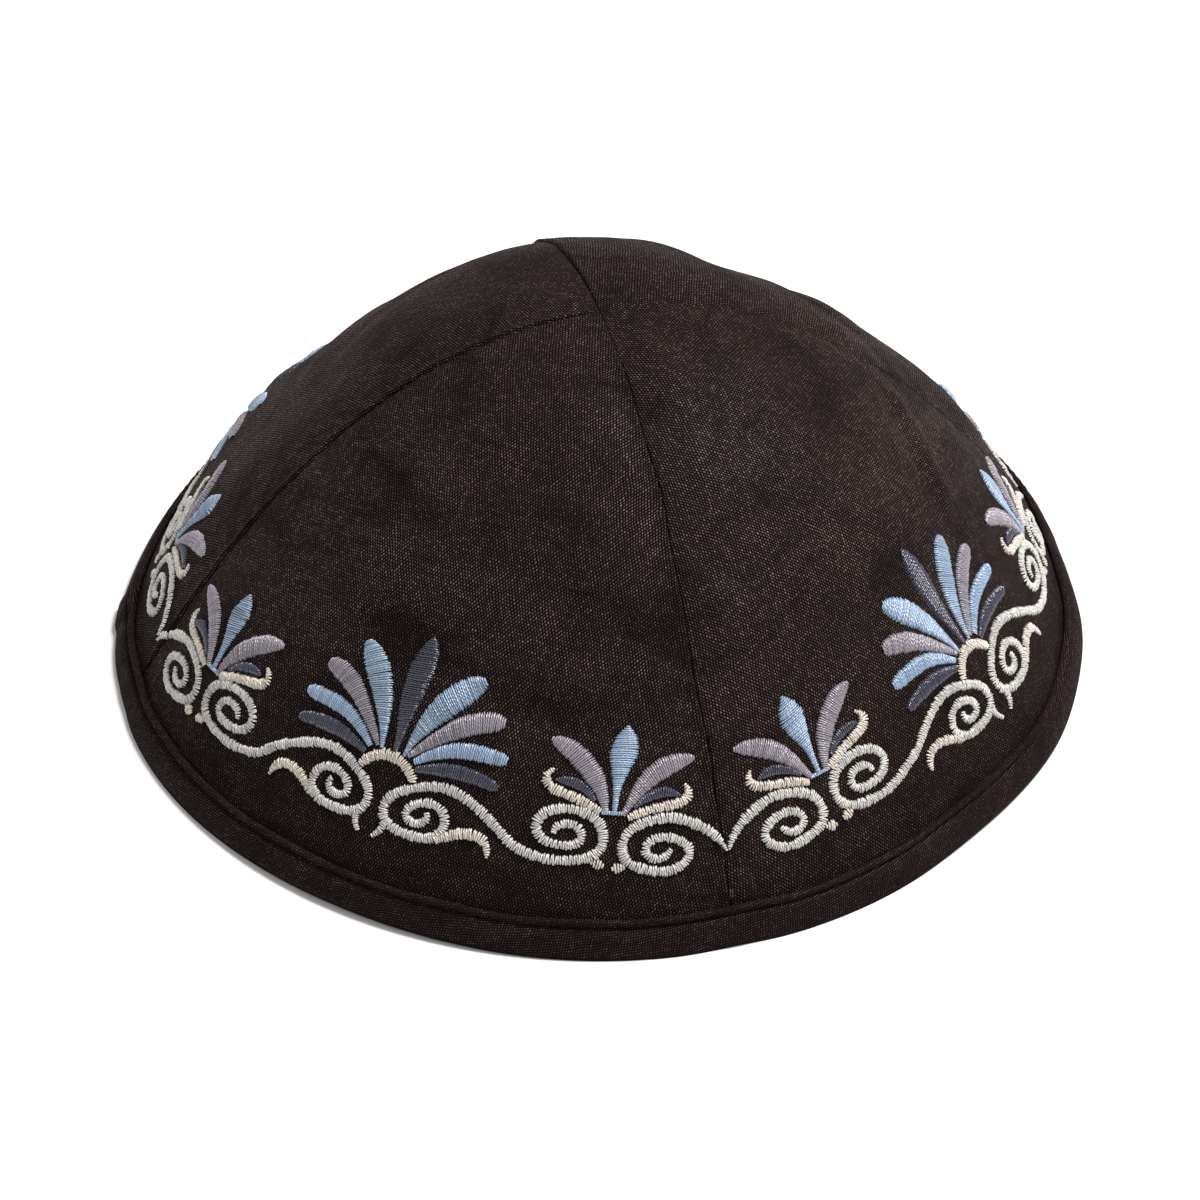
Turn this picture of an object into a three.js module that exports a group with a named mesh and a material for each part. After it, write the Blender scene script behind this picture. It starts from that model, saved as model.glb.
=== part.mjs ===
// A skullcap (kippah): a dome of four sewn cloth gores, with a folded cloth binding round the rim.
// Millimetres, +Z up. The origin is the centre of the rim on the table, and the front gore faces -Y.
import * as THREE from "three";

// Overall form
const rimRadius = 85; // outside of the binding where it meets the table
const crownHeight = 67; // from the table to the top of the crown, before the seams draw it in
const profilePower = 2.16; // 2 is a parabola, and more is fuller at the shoulder
const goreCount = 4;
const firstSeam = -45; // azimuth of a seam in degrees, so the gores are centred on the axes

// Cloth
const crownWall = 1.2; // outer cloth and stiffening, sewn as one
const bindingLeaf = 0.8; // the folded tape on one side of the crown
const bindingWidth = 6.3; // the tape seen on the outside, up from the table
const bindingInside = 6.9; // the tape on the inside, up from the table
const clothStart = 2.6; // the gores begin this far up from the table, inside the fold
const sewnGap = 0.3; // clear space between pieces that are sewn together
const foldRound = 0.6; // how far the fold turns in before its flat foot

// The hand-shaped departures from a round dome
const cornerPush = 0.5; // the rim stands out this far at the seams
const ovalPush = 0.5; // the rim stands out this far along its longer axis
const ovalAzimuth = 70; // degrees
const seamDip = 0.5; // depth of the valley that a seam draws in
const seamDipReach = 6; // half width of that valley
const rimLift = 0.8; // the rim clears the table between the seams
const restHalfAngle = 12; // the rim lies flat this far to each side of a seam, in degrees
const settleHeight = 25; // the lift has faded out this far up the cloth
const dentDepth = 1.2;
// azimuth in degrees, up as a share of the arc from table to top, push as a share of dentDepth (inwards
// when negative), wide in degrees and tall as a share of the arc.
const dents = [
  { place: "right back swell", azimuth: 63, up: 0.22, push: 1.0, wide: 20, tall: 0.2 },
  { place: "back shoulder hollow", azimuth: 92, up: 0.6, push: -1.0, wide: 14, tall: 0.2 },
  { place: "back seam ridge", azimuth: 134, up: 0.62, push: 0.8, wide: 9, tall: 0.2 },
  { place: "right seam pinch", azimuth: 38, up: 0.02, push: -0.9, wide: 8, tall: 0.1 },
  { place: "right rim swell", azimuth: 6, up: 0.04, push: 0.7, wide: 9, tall: 0.12 },
  { place: "right rim hollow", azimuth: -14, up: 0.04, push: -0.45, wide: 8, tall: 0.12 },
  { place: "front rim swell", azimuth: -72, up: 0.02, push: 0.4, wide: 26, tall: 0.1 },
  { place: "front shoulder hollow", azimuth: -58, up: 0.34, push: -0.7, wide: 9, tall: 0.12 },
  { place: "front crown swell", azimuth: -92, up: 0.62, push: 0.6, wide: 20, tall: 0.16 },
  { place: "left rim hollow", azimuth: -163, up: 0.02, push: -0.6, wide: 16, tall: 0.08 },
  { place: "left shoulder swell", azimuth: -178, up: 0.26, push: 1.0, wide: 12, tall: 0.13 },
  { place: "left crown hollow", azimuth: -160, up: 0.5, push: -0.7, wide: 12, tall: 0.18 },
];

// Facets
const columnsPerGore = 18;
const rowsPerGore = 18;
const profileSteps = 400;

const radians = THREE.MathUtils.degToRad;
const clamp = THREE.MathUtils.clamp;
const lerp = THREE.MathUtils.lerp;
const goreAngle = 360 / goreCount;

// The crown's outer cloth lies this far inside the binding's outer face, measured square to the cloth.
const bindingProud = sewnGap + bindingLeaf;
const rimSlope = Math.atan((crownHeight * profilePower) / rimRadius);
const crownRadius = rimRadius - bindingProud * Math.sin(rimSlope);

// The crown's outer line in one half-plane, as { r, z, arc } from the table to the top.
const profile = [];
for (let step = 0; step <= profileSteps; step++) {
  const r = crownRadius * Math.cos((Math.PI / 2) * (step / profileSteps));
  const z = crownHeight * (1 - (r / crownRadius) ** profilePower);
  const last = profile[step - 1];
  const arc = last ? last.arc + Math.hypot(r - last.r, z - last.z) : 0;
  profile.push({ r, z, arc });
}
const crownArc = profile[profileSteps].arc;

// The crown's outer line at an arc length from the table, with its outward normal.
function profileAt(arc) {
  const reached = profile.findIndex((point) => point.arc >= arc);
  const step = clamp(reached, 1, profileSteps);
  const low = profile[step - 1];
  const high = profile[step];
  const length = high.arc - low.arc;
  const share = (arc - low.arc) / length;
  return {
    r: lerp(low.r, high.r, share),
    z: lerp(low.z, high.z, share),
    normalR: (high.z - low.z) / length,
    normalZ: (low.r - high.r) / length,
  };
}

// Degrees from an azimuth to the nearest seam.
function offSeam(azimuth) {
  const turn = THREE.MathUtils.euclideanModulo(azimuth - firstSeam, goreAngle);
  return Math.min(turn, goreAngle - turn);
}

function bell(distance, reach) {
  return Math.exp(-((distance / reach) ** 2));
}

function turnBetween(a, b) {
  return Math.abs(THREE.MathUtils.euclideanModulo(a - b + 180, 360) - 180);
}

// How far the cloth stands out from the round dome, square to its surface.
function swell(azimuth, arc, r) {
  const up = clamp(arc / crownArc, 0, 1);
  const corner = cornerPush * Math.cos(radians(offSeam(azimuth)) * goreCount);
  const oval = ovalPush * Math.cos(2 * radians(azimuth - ovalAzimuth));
  const valley = seamDip * bell(r * Math.sin(radians(offSeam(azimuth))), seamDipReach);
  let push = (corner + oval) * (1 - up) - valley;
  for (const dent of dents) {
    const across = bell(turnBetween(azimuth, dent.azimuth), dent.wide);
    const along = bell(up - dent.up, dent.tall);
    push += dentDepth * dent.push * across * along * (1 - up ** 4);
  }
  return push;
}

// How far the rim clears the table at an azimuth.
function liftAt(azimuth) {
  const span = goreAngle / 2 - restHalfAngle;
  const share = clamp((offSeam(azimuth) - restHalfAngle) / span, 0, 1);
  return (rimLift * (1 - Math.cos(Math.PI * share))) / 2;
}

function atAzimuth(azimuth, radius, height) {
  const turn = radians(azimuth);
  return [radius * Math.cos(turn), radius * Math.sin(turn), height];
}

// A point on the crown: arc up the outer cloth from the table, and out square to it.
function clothPoint(azimuth, arc, out) {
  const line = profileAt(arc);
  const push = swell(azimuth, arc, line.r);
  const settled = clamp(arc / settleHeight, 0, 1);
  const radius = line.r + line.normalR * (out + push);
  const lift = liftAt(azimuth) * (1 - settled) ** 2;
  const height = line.z + line.normalZ * (out + push * settled) + lift;
  return atAzimuth(azimuth, radius, height);
}

// A closed body from shared vertices: four corners run anticlockwise seen from outside.
class Shell {
  vertices = [];
  faces = [];
  add(point) {
    this.vertices.push(...point);
    return this.vertices.length / 3 - 1;
  }
  triangle(a, b, c) {
    this.faces.push(a, b, c);
  }
  quad(a, b, c, d) {
    this.triangle(a, b, c);
    this.triangle(a, c, d);
  }
  geometry() {
    const made = new THREE.BufferGeometry();
    made.setAttribute("position", new THREE.Float32BufferAttribute(this.vertices, 3));
    made.setIndex(this.faces);
    made.computeVertexNormals();
    return made;
  }
}

// The row of azimuths across a gore at one arc: it keeps half the sewn gap to the seam's plane.
function goreColumns(seam, arc) {
  const edge = THREE.MathUtils.radToDeg(Math.asin(clamp(sewnGap / 2 / profileAt(arc).r, 0, 1)));
  const columns = [];
  for (let column = 0; column <= columnsPerGore; column++) {
    columns.push(lerp(seam + edge, seam + goreAngle - edge, column / columnsPerGore));
  }
  return columns;
}

// One gore: a curved wall from inside the binding to a point near the top of the crown.
function goreGeometry(seam) {
  const shell = new Shell();
  const tipArc = crownArc - sewnGap / 2 / Math.sin(radians(goreAngle / 2));
  const rows = [];
  for (let row = 0; row < rowsPerGore; row++) {
    const arc = lerp(clothStart, tipArc, row / rowsPerGore);
    const columns = goreColumns(seam, arc);
    rows.push({
      outer: columns.map((azimuth) => shell.add(clothPoint(azimuth, arc, 0))),
      inner: columns.map((azimuth) => shell.add(clothPoint(azimuth, arc, -crownWall))),
    });
  }
  const middle = seam + goreAngle / 2;
  const outerTip = shell.add(clothPoint(middle, tipArc, 0));
  const innerTip = shell.add(clothPoint(middle, tipArc, -crownWall));
  const top = rows[rowsPerGore - 1];
  const bottom = rows[0];
  for (let column = 0; column < columnsPerGore; column++) {
    const next = column + 1;
    for (let row = 0; row + 1 < rowsPerGore; row++) {
      const low = rows[row];
      const high = rows[row + 1];
      shell.quad(low.outer[column], low.outer[next], high.outer[next], high.outer[column]);
      shell.quad(low.inner[next], low.inner[column], high.inner[column], high.inner[next]);
    }
    shell.triangle(top.outer[column], top.outer[next], outerTip);
    shell.triangle(top.inner[next], top.inner[column], innerTip);
    shell.quad(bottom.inner[column], bottom.inner[next], bottom.outer[next], bottom.outer[column]);
  }
  for (let row = 0; row + 1 < rowsPerGore; row++) {
    const low = rows[row];
    const high = rows[row + 1];
    const last = columnsPerGore;
    shell.quad(low.inner[0], low.outer[0], high.outer[0], high.inner[0]);
    shell.quad(low.outer[last], low.inner[last], high.inner[last], high.outer[last]);
  }
  shell.quad(top.inner[0], top.outer[0], outerTip, innerTip);
  shell.quad(top.outer[columnsPerGore], top.inner[columnsPerGore], innerTip, outerTip);
  return shell.geometry();
}

// The binding's section at one azimuth: up the outer leaf, round the slot that holds the gores, down
// the inner leaf and back along the flat foot of the fold.
function bindingSection(azimuth) {
  const outside = bindingProud;
  const inside = -(crownWall + bindingProud);
  const slotFloor = clothStart - sewnGap;
  const foot = profileAt(0);
  const footRadius = foot.r + foot.normalR * swell(azimuth, 0, foot.r);
  // Where each face of the fold would meet the table, square to the cloth.
  const outerFoot = footRadius + outside / foot.normalR - foldRound;
  const innerFoot = footRadius + inside / foot.normalR + foldRound;
  const innerTurn = (-inside * foot.normalZ) / foot.normalR + foldRound;
  return [
    clothPoint(azimuth, foldRound / 2, outside),
    clothPoint(azimuth, bindingWidth / 2, outside),
    clothPoint(azimuth, bindingWidth, outside),
    clothPoint(azimuth, bindingWidth, sewnGap),
    clothPoint(azimuth, slotFloor, sewnGap),
    clothPoint(azimuth, slotFloor, -(crownWall + sewnGap)),
    clothPoint(azimuth, bindingInside, -(crownWall + sewnGap)),
    clothPoint(azimuth, bindingInside, inside),
    clothPoint(azimuth, innerTurn, inside),
    atAzimuth(azimuth, innerFoot, liftAt(azimuth)),
    atAzimuth(azimuth, outerFoot, liftAt(azimuth)),
  ];
}

// The binding: one folded tape round the whole rim.
function bindingGeometry() {
  const shell = new Shell();
  const count = columnsPerGore * goreCount;
  const sections = [];
  for (let index = 0; index < count; index++) {
    const azimuth = firstSeam + (360 * index) / count;
    sections.push(bindingSection(azimuth).map((point) => shell.add(point)));
  }
  sections.forEach((section, index) => {
    const next = sections[(index + 1) % count];
    section.forEach((corner, place) => {
      const after = (place + 1) % section.length;
      shell.quad(corner, next[place], next[after], section[after]);
    });
  });
  return shell.geometry();
}

const crownCloth = new THREE.MeshStandardMaterial({ color: 0x1d1917, roughness: 0.78, metalness: 0 });
const bindingCloth = new THREE.MeshStandardMaterial({ color: 0x15100f, roughness: 0.86, metalness: 0 });

function piece(name, geometry, material) {
  const mesh = new THREE.Mesh(geometry, material);
  mesh.name = name;
  return mesh;
}

const skullcap = new THREE.Group();
const goreNames = ["right", "back", "left", "front"];
for (let gore = 0; gore < goreCount; gore++) {
  const side = goreNames[gore] ?? String(gore + 1);
  const geometry = goreGeometry(firstSeam + gore * goreAngle);
  skullcap.add(piece(`crown_gore_${side}`, geometry, crownCloth));
}
skullcap.add(piece("rim_binding", bindingGeometry(), bindingCloth));

export default skullcap;
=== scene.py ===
import math
from typing import NamedTuple

import bmesh
import bpy
import numpy as np
from bpy.props import FloatProperty, FloatVectorProperty, IntProperty, PointerProperty
from bpy.types import Operator, Panel, PropertyGroup
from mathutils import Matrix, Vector


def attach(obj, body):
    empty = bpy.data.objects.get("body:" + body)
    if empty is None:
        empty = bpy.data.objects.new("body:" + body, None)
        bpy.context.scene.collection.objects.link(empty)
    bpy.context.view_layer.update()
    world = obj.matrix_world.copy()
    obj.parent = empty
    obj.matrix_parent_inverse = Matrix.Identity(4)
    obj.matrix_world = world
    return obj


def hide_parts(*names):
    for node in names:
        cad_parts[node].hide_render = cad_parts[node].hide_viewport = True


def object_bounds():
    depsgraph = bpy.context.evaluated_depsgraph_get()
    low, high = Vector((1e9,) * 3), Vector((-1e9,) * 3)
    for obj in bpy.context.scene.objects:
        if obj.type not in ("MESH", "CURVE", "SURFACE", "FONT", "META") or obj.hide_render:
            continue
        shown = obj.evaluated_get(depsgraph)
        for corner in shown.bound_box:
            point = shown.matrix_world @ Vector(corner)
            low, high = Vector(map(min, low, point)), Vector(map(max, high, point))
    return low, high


bl_info = {
    "name": "Embroidered Skullcap",
    "version": (1, 0, 0),
    "blender": (4, 5, 0),
    "location": "3D View > Sidebar > Skullcap",
    "description": "Sews a four-gore cloth skullcap with a bound rim and a satin-stitched border",
    "category": "Object",
}

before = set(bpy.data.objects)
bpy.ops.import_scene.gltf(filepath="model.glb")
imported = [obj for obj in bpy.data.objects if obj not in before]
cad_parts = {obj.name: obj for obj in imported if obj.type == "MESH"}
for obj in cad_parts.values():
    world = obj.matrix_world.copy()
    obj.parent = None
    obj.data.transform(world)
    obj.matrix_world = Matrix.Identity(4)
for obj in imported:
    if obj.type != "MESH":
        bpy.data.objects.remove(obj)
CAD_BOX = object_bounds()

MM = 0.001
BODY = "root"
PROFILE_STEPS = 400
GORE_CENTRES = {"right": 0.0, "back": 90.0, "left": 180.0, "front": -90.0}
GORE_ANGLE = 90.0
FIRST_SEAM = -45.0


def length(name, description, millimetres):
    """A size in metres, written in millimetres."""
    return FloatProperty(
        name=name, description=description, default=millimetres * MM, subtype="DISTANCE", unit="LENGTH"
    )


def colour(name, description, value):
    return FloatVectorProperty(
        name=name, description=description, default=value, size=3, min=0.0, max=1.0, subtype="COLOR"
    )


def number(name, description, value):
    return FloatProperty(name=name, description=description, default=value)


class SkullcapForm(PropertyGroup):
    """The form that the packed part has, so that every thread lies on its cloth."""

    rim_radius: length("Rim Radius", "Outside of the binding where it meets the table", 85.0)
    crown_height: FloatProperty(
        name="Crown Height",
        description="From the table to the top of the crown, before the seams draw it in",
        default=CAD_BOX[1].z + 0.5 * MM,
        subtype="DISTANCE",
        unit="LENGTH",
    )
    profile_power: number("Profile Power", "2 is a parabola, and more is fuller at the shoulder", 2.16)
    crown_wall: length("Crown Wall", "Outer cloth and stiffening, sewn as one", 1.2)
    cloth_start: length("Cloth Start", "The gores begin this far up from the table, inside the fold", 2.6)
    sewn_gap: length("Sewn Gap", "Clear space between the binding and the gores in its slot", 0.3)
    corner_push: length("Corner Push", "The rim stands out this far at the seams", 0.5)
    oval_push: length("Oval Push", "The rim stands out this far along its longer axis", 0.5)
    oval_azimuth: number("Oval Azimuth", "Direction of the longer axis, in degrees", 70.0)
    seam_dip: length("Seam Dip", "Depth of the valley that a seam draws in", 0.5)
    seam_dip_reach: length("Seam Dip Reach", "Half width of that valley", 6.0)
    rim_lift: length("Rim Lift", "The rim clears the table between the seams", 0.8)
    rest_half_angle: number("Rest Half Angle", "The rim lies flat this far beside a seam, in degrees", 12.0)
    settle_height: length("Settle Height", "The lift has faded out this far up the cloth", 25.0)
    dent_depth: length("Dent Depth", "Depth of the deepest dent pressed into the dome", 1.2)


class SkullcapCloth(PropertyGroup):
    """The woven cloth of the gores and how it is sewn and creased."""

    warp_pitch: length("Warp Pitch", "From one thread that runs up the gore to the next", 0.26)
    weft_pitch: length("Weft Pitch", "From one thread that runs across the gore to the next", 0.49)
    fold_reach: length("Fold Reach", "Width in which a gore's folded edge rounds down to a seam", 0.5)
    seam_depth: length("Seam Depth", "Depth of the seam line below the packed form", 0.5)
    seam_ridge: length("Seam Ridge", "Height of the ridge over the seam allowances", 0.4)
    seam_valley: length("Seam Valley", "How far the lower gore dips beside a seam", 0.18)
    allowance: length("Allowance", "Width of the seam allowances under the ridge", 5.5)
    seam_wander: length("Seam Wander", "How far a seam wanders from its straight line", 0.35)
    seam_pucker: length("Seam Pucker", "Height of the gathers beside a seam", 0.1)
    wave_depth: length("Wave Depth", "Height of the broad waves in the cloth", 0.26)
    crinkle_depth: length("Crinkle Depth", "Height of the small creases in the cloth", 0.1)
    crease_depth: length("Crease Depth", "Depth of the deepest single crease", 0.8)
    seed: IntProperty(name="Seed", description="Chooses the waves and crinkles", default=7)
    dark: colour("Shadow Colour", "Cloth between the shining threads", (0.0062, 0.0032, 0.0028))
    # Painted highlight: the colour that the glints on the thread crowns are painted in.
    bright: colour("Painted Glint Colour", "Crowns of the shining threads", (0.235, 0.172, 0.162))


class SkullcapBinding(PropertyGroup):
    """The folded bias tape round the rim and its row of stitches."""

    leaf: length("Leaf", "Thickness of the folded tape on one side of the crown", 0.8)
    width: length("Width", "Tape seen on the outside, up from the table", 6.3)
    inside: length("Inside", "Tape on the inside, up from the table", 6.9)
    fold_round: length("Fold Round", "How far the fold turns in before its flat foot", 0.6)
    groove_arc: length("Groove Height", "The row of stitches runs this far up from the table", 4.95)
    groove_depth: length("Groove Depth", "How deep the stitches draw the tape in", 0.62)
    pucker: length("Pucker", "Height of the gathers that the stitches leave", 0.07)
    stitch_pitch: length("Stitch Pitch", "From one stitch to the next", 2.3)
    stitch_length: length("Stitch Length", "Thread that shows in one stitch", 1.75)
    stitch_width: length("Stitch Width", "Thickness of the sewing thread", 0.24)
    lap_azimuth: number("Lap Azimuth", "Where the end of the tape laps over its start, in degrees", -152.0)
    lap_angle: number("Lap Angle", "How far the lap reaches, in degrees", 5.5)
    lap_rise: length("Lap Rise", "Extra thickness over the lap", 0.55)
    columns: IntProperty(name="Columns", description="Steps round the rim", default=720)
    warp_pitch: length("Warp Pitch", "From one lengthwise thread of the tape to the next", 0.26)
    weft_pitch: length("Weft Pitch", "From one crosswise thread of the tape to the next", 0.36)
    dark: colour("Shadow Colour", "Tape between its threads", (0.0078, 0.0040, 0.0044))
    # Painted highlight: the colour that the glints on the tape's thread crowns are painted in.
    bright: colour("Painted Glint Colour", "Crowns of the tape's threads", (0.125, 0.080, 0.085))


class SkullcapEmbroidery(PropertyGroup):
    """The satin stitch of the border."""

    petal_pitch: length("Petal Pitch", "From one thread to the next in a petal", 0.36)
    cord_pitch: length("Cord Pitch", "From one thread to the next in a scroll or curl", 0.38)
    thread_width: length("Thread Width", "Width of one thread", 0.32)
    thread_height: length("Thread Height", "Height of one thread", 0.32)
    arch: length("Arch", "How far a thread rises over its padding", 0.3)
    petal_ragged: number("Petal Raggedness", "How unequal a petal's threads are, as a share", 0.07)
    cord_ragged: number("Cord Raggedness", "How unequal a scroll's threads are, as a share", 0.18)
    seed: IntProperty(name="Seed", description="Chooses the unevenness of the threads", default=3)
    silver: colour("Silver", "Thread of the scrolls", (0.56, 0.55, 0.53))
    cream: colour("Cream", "Thread of the arch, curls and dots", (0.65, 0.59, 0.52))
    light_blue: colour("Light Blue", "Thread of the blue petals", (0.295, 0.405, 0.56))
    lilac: colour("Lilac", "Thread of the grey lilac petals", (0.285, 0.257, 0.306))
    navy: colour("Navy", "Thread of the navy petals", (0.042, 0.042, 0.076))


class SkullcapStage(PropertyGroup):
    """Floor, lights and camera."""

    floor: colour("Floor", "Colour of the floor", (0.90, 0.90, 0.90))
    floor_size: length("Floor Size", "Side of the floor", 6000.0)
    sky: number("Sky", "Strength of the even white surroundings", 0.36)
    key_power: number("Key Power", "Power of the large lamp at the upper right, in watts", 21.0)
    fill_power: number("Fill Power", "Power of the lamp at the left, in watts", 2.0)
    camera_azimuth: number("Camera Azimuth", "The camera looks this far round from +Y, in degrees", 30.0)
    camera_elevation: number("Camera Elevation", "Height of the camera's view, in degrees", 39.9)
    camera_distance: length("Camera Distance", "From the camera to the centre of the rim", 680.0)
    lens: number("Lens", "Focal length on a 36 mm sensor, in millimetres", 115.58)
    shift_y: number("Shift", "Upward shift that frames the cap as photographed", 0.0157)


GROUPS = {
    "skullcap_form": SkullcapForm,
    "skullcap_cloth": SkullcapCloth,
    "skullcap_binding": SkullcapBinding,
    "skullcap_embroidery": SkullcapEmbroidery,
    "skullcap_stage": SkullcapStage,
}


class Dent(NamedTuple):
    """A soft dent of the packed crown: its push is a share of the dent depth."""

    azimuth: float
    up: float
    push: float
    wide: float
    tall: float


DENTS = (
    Dent(63, 0.22, 1.0, 20, 0.2),
    Dent(92, 0.6, -1.0, 14, 0.2),
    Dent(134, 0.62, 0.8, 9, 0.2),
    Dent(38, 0.02, -0.9, 8, 0.1),
    Dent(6, 0.04, 0.7, 9, 0.12),
    Dent(-14, 0.04, -0.45, 8, 0.12),
    Dent(-72, 0.02, 0.4, 26, 0.1),
    Dent(-58, 0.34, -0.7, 9, 0.12),
    Dent(-92, 0.62, 0.6, 20, 0.16),
    Dent(-163, 0.02, -0.6, 16, 0.08),
    Dent(-178, 0.26, 1.0, 12, 0.13),
    Dent(-160, 0.5, -0.7, 12, 0.18),
)


class Crease(NamedTuple):
    """A single soft fold between two points of the cloth, each an azimuth and an arc in millimetres."""

    start: tuple
    end: tuple
    width: float
    push: float


CREASES = (
    Crease((-124, 66), (-98, 63), 3.2, -0.75),
    Crease((-120, 57), (-100, 52), 3.0, 0.6),
    Crease((-123, 50), (-117, 46), 4.5, -0.6),
    Crease((-109, 72), (-62, 75), 2.6, -0.5),
    Crease((-76, 59), (-66, 57), 4.5, -0.5),
    Crease((-120, 84), (-114, 82), 3.5, -0.4),
    Crease((-76, 40), (-58, 36), 3.4, -1.0),
    Crease((-78, 45), (-60, 42), 3.0, 0.6),
    Crease((-116, 41), (-104, 38), 3.0, 0.5),
    Crease((-143, 48), (-128, 52), 3.0, -0.6),
    Crease((-22, 97), (-29, 80), 5.0, 0.7),
    Crease((20, 79), (11, 67), 5.0, -0.8),
    Crease((34, 56), (22, 46), 2.2, 0.8),
    Crease((30, 57), (19, 48), 2.4, -0.7),
    Crease((-38, 62), (-27, 50), 3.2, -0.5),
    Crease((-8, 62), (2, 55), 3.2, 0.5),
    Crease((70, 60), (95, 50), 3.5, -0.7),
    Crease((98, 72), (118, 60), 3.0, 0.6),
    Crease((160, 66), (186, 60), 3.2, -0.7),
    Crease((166, 48), (192, 52), 3.0, 0.5),
    Crease((60, 60), (66, 62), 4.0, -1.3),
    Crease((50, 30), (66, 36), 7.0, 0.4),
)


def bell(distance, reach):
    return np.exp(-((distance / reach) ** 2))


def smooth_step(low, high, value):
    share = np.clip((value - low) / (high - low), 0.0, 1.0)
    return share * share * (3.0 - 2.0 * share)


def turn_between(a, b):
    return np.abs(np.mod(a - b + 180.0, 360.0) - 180.0)


# About the mean of a rectified sine wave, so that creased waves lie evenly about 0.
MEAN_RIDGE = 0.64


class Waves:
    """A smooth uneven surface: a few sine waves of seeded direction, length and phase."""

    def __init__(self, seed, count, shortest, longest):
        draw = np.random.default_rng(seed)
        self.size = draw.uniform(shortest, longest, count)
        self.heading = draw.uniform(0.0, np.pi, count)
        self.phase = draw.uniform(0.0, 2.0 * np.pi, count)

    def angles(self, across, up):
        for size, heading, phase in zip(self.size, self.heading, self.phase):
            along = across * math.cos(heading) + up * math.sin(heading)
            yield 2.0 * np.pi * along / size + phase

    def rolling(self, across, up):
        """Between about -1 and 1."""
        return sum(np.sin(angle) for angle in self.angles(across, up)) / math.sqrt(len(self.size))

    def creased(self, across, up):
        """Between about -1 and 1, with narrow ridges."""
        ridges = (MEAN_RIDGE - np.abs(np.sin(angle)) for angle in self.angles(across, up))
        return sum(ridges) / math.sqrt(len(self.size))


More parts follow.
